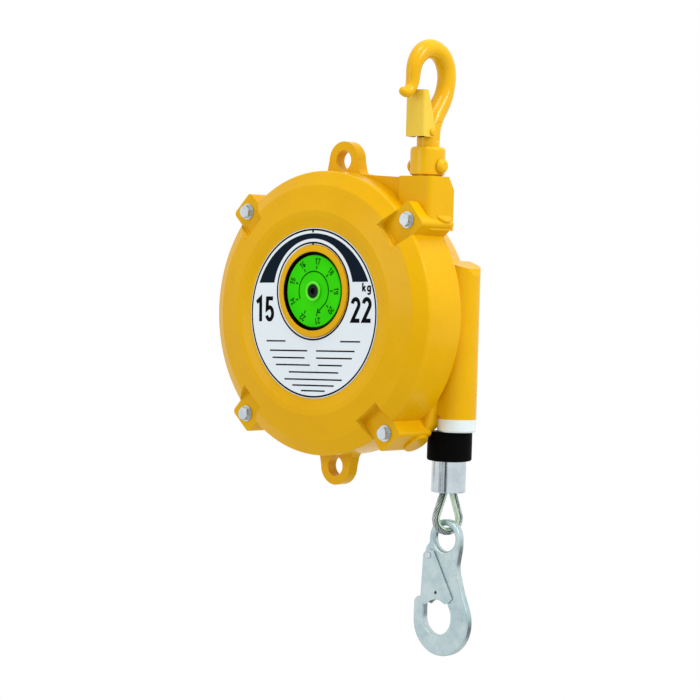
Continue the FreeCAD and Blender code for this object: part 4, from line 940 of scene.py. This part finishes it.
@dataclass
class WireRope:
    """Galvanised wire rope of six strands, each of seven outer wires."""

    shop: Paintshop
    radius: float = 2.4
    strands: int = 6
    wires: int = 7
    wire_depth: float = 0.3
    eye_lay: float = 27.0
    wire_lay: float = 9.0
    run_lay: float = 2.6
    loop_r: float = 11.6
    loop_turn: float = 64.0
    top_half: float = 2.6
    top_room: float = 0.85
    straight: float = 1e6
    run_points: int = 420
    end_points: int = 190
    leg_points: int = 90
    run_around: int = 8
    eye_around: int = 28

    def lay_up(self, name: str, line: np.ndarray, side: np.ndarray, lay: float, around: int,
               wire_lay: float) -> Object:
        """Lay strands round a line.

        A strand's middle runs round the line at two thirds of the rope's radius, one turn
        for each length of lay.  Its own section is a circle with a third of the rope's
        radius, drawn in between the wires by the absolute cosine of half the wire count
        times the angle, and turned slowly along the strand.

        Args:
            name: The piece's name.
            line: Points of the rope's middle, in millimetres.
            side: A unit vector square to the line at each point.
            lay: Length of one turn of a strand, in millimetres.
            around: Points round each strand.
            wire_lay: Length of one turn of the wires in a strand, in millimetres.

        Returns:
            The rope.
        """
        step = np.linalg.norm(np.diff(line, axis=0), axis=1)
        travel = np.concatenate([[0.0], np.cumsum(step)])
        other = np.cross(unit(np.gradient(line, axis=0)), side)
        angle = np.linspace(0, 2 * np.pi, around, endpoint=False)[None, :]
        twist = (2 * np.pi * travel / wire_lay)[:, None]
        lobes = np.abs(np.cos(self.wires / 2 * (angle + twist)))
        section = self.radius / 3 * (1 - self.wire_depth * (1 - lobes))
        points, faces = [], []
        for k in range(self.strands):
            turn = (2 * np.pi * (travel / lay + k / self.strands))[:, None]
            out = side * np.cos(turn) + other * np.sin(turn)
            middle = line + self.radius * 2 / 3 * out
            along = unit(np.gradient(middle, axis=0))
            across = unit(np.cross(along, out))
            up = np.cross(across, along)
            ring = swept(middle, up, across, section * np.cos(angle), section * np.sin(angle))
            points.append(ring.reshape(-1, 3))
            faces += capped_faces(len(line), around, k * len(line) * around)
        piece = self.shop.make(name, np.concatenate(points) * MM, faces, True, ROPE_WIRE)
        return piece

    def build(self) -> None:
        """Make the rope's run above the bumper and its eye below the ferrule."""
        low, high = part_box("rope_run")
        x, y = (low.x + high.x) / 2 / MM, (low.y + high.y) / 2 / MM
        z = np.linspace(high.z, low.z, self.run_points) / MM
        line = np.stack([np.full_like(z, x), np.full_like(z, y), z], axis=1)
        side = np.tile([1.0, 0.0, 0.0], (len(z), 1))
        run = self.lay_up("rope_run_laid", line, side, self.run_lay, self.run_around,
                          self.straight)
        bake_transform(run)
        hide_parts("rope_run")
        path, normal = self.eye_line()
        eye = self.lay_up("rope_eye_laid", path, normal, self.eye_lay, self.eye_around,
                          self.wire_lay)
        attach(eye, "rope_end")
        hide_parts("rope_loop")

    def eye_line(self) -> tuple[np.ndarray, np.ndarray]:
        """Middle line of the eye: a leg, a round end and a leg, in an upright plane.

        The legs start close together under the clamp and touch the round end's circle, so
        the angle at the touching point follows from their spacing and height.

        Returns:
            The points of the line, and a unit vector square to the eye's plane at each.
        """
        low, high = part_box("rope_run")
        x, y = (low.x + high.x) / 2 / MM, (low.y + high.y) / 2 / MM
        low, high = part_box("rope_loop")
        top, centre_z = high.z / MM, low.z / MM + self.radius + self.loop_r
        height = top + self.top_room - centre_z
        touch = (math.atan2(height, self.top_half)
                 - math.acos(self.loop_r / math.hypot(self.top_half, height)))
        round_end = circle_points((0, centre_z), self.loop_r, 180 - math.degrees(touch),
                                  360 + math.degrees(touch), self.end_points)
        direction = np.array([-math.sin(touch), math.cos(touch)])
        rise = (top - round_end[-1, 1]) / direction[1]
        reach = np.linspace(0, rise, self.leg_points)[1:, None]
        right = round_end[-1] + reach * direction
        left = (round_end[0] + reach * direction * np.array([-1, 1]))[::-1]
        flat = np.concatenate([left, round_end, right])
        angle = math.radians(self.loop_turn)
        line = np.stack([x + flat[:, 0] * math.cos(angle), y + flat[:, 0] * math.sin(angle),
                         flat[:, 1]], axis=1)
        normal = np.tile([-math.sin(angle), math.cos(angle), 0.0], (len(line), 1))
        return line, normal


@dataclass
class Thimble:
    """Pressed trough that lines the inside of the rope's eye."""

    shop: Paintshop
    rope: WireRope
    gap: float = 0.1
    thickness: float = 1.3
    half_side: tuple[tuple[float, float], ...] = (
        (-0.65, 1.0), (-0.62, 2.0), (-0.2, 2.75), (0.7, 3.2), (1.45, 3.35), (1.5, 2.95),
        (0.95, 2.55), (0.65, 1.9), (0.65, 0.8))

    def build(self) -> Object:
        """Carry the trough's section round the eye, inside the rope.

        The section is a ring of points (u, v): u outwards in the eye's plane from the
        trough's middle line, v across the plane, mirrored to the other side.

        Returns:
            The thimble.
        """
        path, normal = self.rope.eye_line()
        outward = np.cross(normal, unit(np.gradient(path, axis=0)))
        path = path - outward * (self.rope.radius + self.gap + self.thickness / 2)
        keep = path[:, 2] <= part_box("rope_thimble")[1].z / MM
        path, normal, outward = path[keep], normal[keep], outward[keep]
        half = np.array(self.half_side)
        u, v = np.concatenate([half, half[::-1] * np.array([1, -1])])[::-1].T[:, None]
        grid = swept(path, outward, normal, u, v)
        piece = self.shop.make("rope_eye_thimble", grid.reshape(-1, 3) * MM,
                               capped_faces(*grid.shape[:2]), True, GALVANISED)
        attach(piece, "rope_end")
        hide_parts("rope_thimble")
        return piece


@dataclass
class EarPockets:
    """Cast walls round the sunk pads of the four bolt ears, in millimetres."""

    shop: Paintshop
    angles: tuple[float, ...] = (136.0, 227.0, 40.5, -52.0)
    inner_r: float = 100.0
    outer_r: float = 118.4
    half: float = 13.0
    corner: float = 2.5
    pad_depth: float = 10.0
    fillet: float = 1.3
    count: int = 16
    under: tuple[float, float, float] = (0.35, 0.2, 0.1)
    sink: float = 0.05
    foot: float = 0.4
    back: float = 0.5
    proud: float = 0.12
    reach: float = 1.6
    ridge: tuple[float, float] = (86.0, -2.5)
    crease: tuple[float, float] = (107.5, 2.0)
    rim: tuple[float, float] = (119.6, 9.2)

    def outline(self) -> tuple[np.ndarray, np.ndarray]:
        """The pocket's wall in plan, at angle zero: along one side, round the inner end and
        back along the other side.

        Returns:
            Points of the wall and, at each, the direction into the pocket.
        """
        turn, n = np.radians(np.linspace(0, 90, 8)[1:-1]), self.count
        bend = np.stack([np.sin(turn), np.cos(turn)], axis=1)
        centre = np.array([self.inner_r + self.corner, self.corner - self.half])
        side = np.stack([np.linspace(self.outer_r, centre[0], n), np.full(n, -self.half)], axis=1)
        end = np.stack([np.full(n, self.inner_r), np.linspace(centre[1], -centre[1], n)], axis=1)
        half = np.concatenate([side, centre - self.corner * bend])
        half_in = np.concatenate([np.tile([0.0, 1.0], (n, 1)), bend])
        mirror = np.array([1, -1])
        points = np.concatenate([half, end, half[::-1] * mirror])
        inward = np.concatenate([half_in, np.tile([1.0, 0.0], (n, 1)), half_in[::-1] * mirror])
        return points, inward

    def build(self) -> list[Object]:
        """Carry the wall's section along the pocket's outline, once for each ear.

        The section is a ring of points (distance into the pocket, depth): it starts just
        under the cover's surface, whose depth follows from the distance to the drum axis,
        runs down the wall and turns through a fillet on to the pad.

        Returns:
            One wall for each ear.
        """
        points, inward = self.outline()
        surface = np.interp(np.hypot(*points.T), *np.array([self.ridge, self.crease, self.rim]).T)
        arc = np.radians(np.linspace(0, 90, 7))
        into = np.concatenate([[-self.back, self.proud],
                               self.proud + self.fillet * (1 - np.cos(arc)),
                               [self.reach, -self.back]])
        floor = self.pad_depth - self.sink
        level = np.concatenate([[0.0, 0.0], floor - self.fillet * (1 - np.sin(arc)),
                                [floor + self.foot] * 2])
        depth = np.tile(level, (len(points), 1))
        depth[:, 0], depth[:, 1] = surface + self.under[0], surface + self.under[1]
        depth = np.maximum(depth, (surface + self.under[2])[:, None])
        plan = points[:, None] + inward[:, None] * into[None, :, None]
        pieces = []
        for number, degrees in enumerate(self.angles, start=1):
            a = math.radians(degrees)
            x = plan[..., 0] * math.cos(a) - plan[..., 1] * math.sin(a)
            z = plan[..., 0] * math.sin(a) + plan[..., 1] * math.cos(a)
            grid = drum_axis() + np.stack([x, depth, z], axis=-1) * MM
            piece = self.shop.make(f"ear_pocket_wall_{number}", grid.reshape(-1, 3),
                                   capped_faces(*depth.shape), True, YELLOW)
            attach(piece, "case")
            pieces.append(piece)
        return pieces


@dataclass
class FilletsAndWellShade:
    """Pieces that the solids leave out: the cast blend between the lower right ear and the
    rope tube, and a black ring of painted shade on the inner wall of the dial's well.
    Lengths are millimetres from the drum axis, with depth from the cover's joint.

    Each level of the blend is a superellipse (x - cx)^4 / a^4 + (y - cy)^4 / b^4 = 1.
    """

    shop: Paintshop
    levels: tuple[tuple[float, float, float, float, float], ...] = (
        (-60.0, 82.0, 58.0, 12.0, 12.0), (-70.0, 83.0, 58.0, 12.0, 12.0),
        (-80.0, 82.0, 56.5, 11.2, 10.6), (-85.0, 81.4, 55.4, 10.8, 10.2),
        (-90.0, 80.8, 54.0, 10.2, 9.6), (-94.5, 79.8, 50.5, 9.2, 7.4),
        (-97.0, 79.0, 49.0, 8.4, 5.0))
    well_out_r: float = 32.95
    well_in_r: float = 32.55
    well_depth: tuple[float, float] = (-1.1, 7.0)

    def build(self) -> None:
        """Make the blend and the ring of painted shade in the dial's well."""
        rows, ring = 40, 64
        levels = np.array(self.levels).T
        z = np.linspace(levels[0, 0], levels[0, -1], rows)
        cx, cy, a, b = (np.interp(-z, -levels[0], levels[k])[:, None] for k in (1, 2, 3, 4))
        angle = np.linspace(2 * np.pi, 0, ring, endpoint=False)[None, :]
        x, y = (middle + reach * np.sign(way) * np.sqrt(np.abs(way))
                for middle, reach, way in ((cx, a, np.cos(angle)), (cy, b, np.sin(angle))))
        grid = np.stack([x, y, np.broadcast_to(z[:, None], x.shape)], axis=-1)
        self.add("ear_to_tube_blend", grid, capped_faces(rows, ring), YELLOW)
        # A black ring on the well's inner wall: painted shade of the deep gap round the dial, not a
        # part of its own.
        front, back = self.well_depth
        section = np.array([(self.well_out_r, front), (self.well_out_r, back),
                            (self.well_in_r, back), (self.well_in_r, front)])
        turn = np.linspace(0, 2 * np.pi, 121)[:, None]
        radius, depth = section.T[:, None]
        grid = np.stack([radius * np.cos(turn), np.broadcast_to(depth, (121, 4)),
                         dial_rise() + radius * np.sin(turn)], axis=-1)
        # The black rubber finish only gives this painted shade its colour.
        self.add("dial_well_painted_shade", grid, [grid_faces(121, 4, Close.ROUND)], RUBBER)

    def add(self, name: str, grid: np.ndarray, faces: list[np.ndarray], finish: Finish) -> None:
        """Turn a grid of sections into a piece of the case.

        Args:
            name: The piece's name.
            grid: Points of the sections, in millimetres from the drum axis.
            faces: Its blocks of faces.
            finish: The finish.
        """
        points = drum_axis() + grid.reshape(-1, 3) * MM
        piece = self.shop.make(name, points, faces, True, finish)
        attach(piece, "case")


@dataclass
class Housing:
    """The CAD nodes, dressed by their slots and, where one needs it, by name."""

    shop: Paintshop

    def build(self, nodes: dict[str, Object], record: dict) -> None:
        """Give every node its finish.

        Args:
            nodes: The CAD nodes by name.
            record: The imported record, which names each node's slot.
        """
        slots = {part["node"]: part["material_slot"] for part in record["subparts"]}
        for name, node in nodes.items():
            finish = NODE_FINISH.get(name, SLOT_FINISH[slots[name]])
            self.shop.dress(node, finish)
            LOG.info("%s: %s", name, finish.name)


# ------------------------------------------------------------------------------------
# studio
# ------------------------------------------------------------------------------------
@dataclass(frozen=True)
class Lamp:
    """A square softbox, placed by angles and a distance from the object's middle."""

    name: str
    turn: float  # degrees to the camera's right
    rise: float  # degrees over the horizon
    distance: float
    size: float
    power: float  # watts


@dataclass(frozen=True)
class Card:
    """An upright grey card that only gloss reflects."""

    name: str
    turn: float  # degrees to the camera's right
    distance: float
    half_width: float
    bottom: float
    top: float
    shade: float  # its grey in linear light


LAMPS = (Lamp("key_softbox", 62, 34, 1.7, 0.45, 11.0), Lamp("top_softbox", 15, 74, 1.6, 0.6, 9.0),
         Lamp("left_softbox", -58, 12, 1.9, 0.8, 5.0))
CARDS = (Card("dark_card_left", -20, 1.95, 0.3, -1.1, 0.7, 0.02),
         Card("grey_card_left", -52, 1.9, 0.6, -0.62, -0.4, 0.3),
         Card("dark_card_right", 100, 1.6, 0.7, -1.5, -0.63, 0.02))


def matt_grey(name: str, shade: float) -> Material:
    """A plain matt material for scenery."""
    material = bpy.data.materials.new(name)
    material.use_nodes = True
    shader = material.node_tree.nodes["Principled BSDF"]
    preset(shader, {"Base Color": (shade, shade, shade, 1.0), "Roughness": 0.9})
    return material


@dataclass
class Studio:
    """Camera, lamps, world and floor."""

    azimuth: float = 41.5535
    elevation: float = 1.9208
    roll: float = 1.6128
    distance: float = 2.0639
    lens: float = 126.76
    aim: tuple[float, float, float] = (-0.0882, -0.0386, -0.2125)
    aside: float = 0.03205
    below: float = 0.02990
    world_level: float = 0.755
    floor_z: float = -2.05
    floor_r: float = 2.6
    floor_glow: float = 0.6

    def build(self) -> None:
        """Set up the camera, the world, the floor, the lamps and the cards."""
        self.camera()
        self.world()
        self.floor()
        for lamp in LAMPS:
            self.lamp(lamp)
        for card in CARDS:
            self.card(card)
        bpy.context.scene.view_settings.view_transform = "Standard"

    def outwards(self, turn: float, rise: float) -> Vector:
        """Direction from the object, by degrees to the camera's right and over the horizon."""
        a, e = math.radians(self.azimuth + turn), math.radians(rise)
        return Vector((math.sin(a) * math.cos(e), -math.cos(a) * math.cos(e), math.sin(e)))

    def camera(self) -> None:
        """Place the camera, with its small roll."""
        a, roll = math.radians(self.azimuth), math.radians(self.roll)
        right, back = Vector((math.cos(a), math.sin(a), 0.0)), self.outwards(0.0, self.elevation)
        up = back.cross(right)
        place = (Vector(self.aim) + right * self.aside - Vector((0, 0, self.below))
                 + back * self.distance)
        x = right * math.cos(roll) + up * math.sin(roll)
        y = up * math.cos(roll) - right * math.sin(roll)
        data = bpy.data.cameras.new("camera")
        data.lens, data.sensor_width = self.lens, 36.0
        data.clip_start, data.clip_end = 0.05, 30.0
        camera = bpy.data.objects.new("camera", data)
        rows = [(*row, 0) for row in (x, y, back)] + [(*place, 1)]
        camera.matrix_world = Matrix(rows).transposed()
        bpy.context.scene.collection.objects.link(camera)
        bpy.context.scene.camera = camera

    def lamp(self, lamp: Lamp) -> None:
        """Hang a softbox that looks at the object."""
        data = bpy.data.lights.new(lamp.name, "AREA")
        data.size, data.energy = lamp.size, lamp.power
        softbox = bpy.data.objects.new(lamp.name, data)
        out = self.outwards(lamp.turn, lamp.rise)
        softbox.location = Vector(self.aim) + out * lamp.distance
        softbox.rotation_mode = "QUATERNION"
        softbox.rotation_quaternion = (-out).to_track_quat("-Z", "Y")
        bpy.context.scene.collection.objects.link(softbox)

    def world(self) -> None:
        """A soft even sky, plain white to the camera and to reflected or passed light."""
        world = bpy.data.worlds.new("studio")
        world.use_nodes = True
        bpy.context.scene.world = world
        sheet = NodeSheet(world.node_tree)
        background = world.node_tree.nodes["Background"]
        preset(background, {"Color": (1.0, 1.0, 1.0, 1.0)})
        path = sheet.add("ShaderNodeLightPath")
        seen = sheet.calc("MAXIMUM", path.outputs["Is Camera Ray"], path.outputs["Is Glossy Ray"])
        seen = sheet.calc("MAXIMUM", seen, path.outputs["Is Transmission Ray"])
        sheet.join(sheet.ramp(seen, 0.0, 1.0, self.world_level, 1.0), background.inputs["Strength"])

    def floor(self) -> None:
        """A round pale floor, just below the reach of the fully pulled rope."""
        rim = circle_points(self.aim[:2], self.floor_r, 0, 360, 97)[:-1]
        shares = np.linspace(0.02, 1.0, 8)[:, None, None]
        flat = (np.array(self.aim[:2]) * (1 - shares) + rim * shares).reshape(-1, 2)
        points = np.column_stack([flat, np.full(len(flat), self.floor_z)])
        floor = mesh_piece("floor", points, [grid_faces(8, len(rim), Close.ROUND),
                                             np.arange(len(rim))[None, ::-1]], False)
        material = matt_grey("pale_floor", 0.9)
        nodes, sheet = material.node_tree.nodes, NodeSheet(material.node_tree)
        glow, mix = sheet.add("ShaderNodeEmission"), sheet.add("ShaderNodeMixShader")
        seen = sheet.add("ShaderNodeLightPath").outputs["Is Camera Ray"]
        sheet.join(sheet.calc("MULTIPLY", seen, self.floor_glow), mix.inputs["Fac"])
        sheet.join(nodes["Principled BSDF"].outputs["BSDF"], mix.inputs[1])
        sheet.join(glow.outputs["Emission"], mix.inputs[2])
        sheet.join(mix.outputs["Shader"], nodes["Material Output"].inputs["Surface"])
        floor.data.materials.append(material)

    def card(self, card: Card) -> None:
        """Stand a card beside the camera."""
        out = self.outwards(card.turn, 0.0)
        centre = Vector(self.aim) + out * card.distance
        side = Vector((-out.y, out.x, 0)) * card.half_width
        corners = [(*(centre + side * sign).xy, height) for height in (card.bottom, card.top)
                   for sign in (-1, 1)]
        sheet = mesh_piece(card.name, np.array(corners), [grid_faces(2, 2, Close.OPEN)], False)
        sheet.data.materials.append(matt_grey(card.name, card.shade))
        sheet.visible_camera = sheet.visible_diffuse = sheet.visible_shadow = False


def main() -> None:
    """Load the frame, dress it, add the print, the relief and the rope, and light it."""
    logging.basicConfig(level=logging.INFO, format="%(name)s: %(message)s")
    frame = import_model()
    shop = Paintshop()
    Housing(shop).build(frame["nodes"], frame["record"])
    RatingPrint(shop).build()
    DialRelief(shop).build()
    rope = WireRope(shop)
    rope.build()
    Thimble(shop, rope).build()
    EarPockets(shop).build()
    FilletsAndWellShade(shop).build()
    Studio().build()


if __name__ == "__main__":
    main()
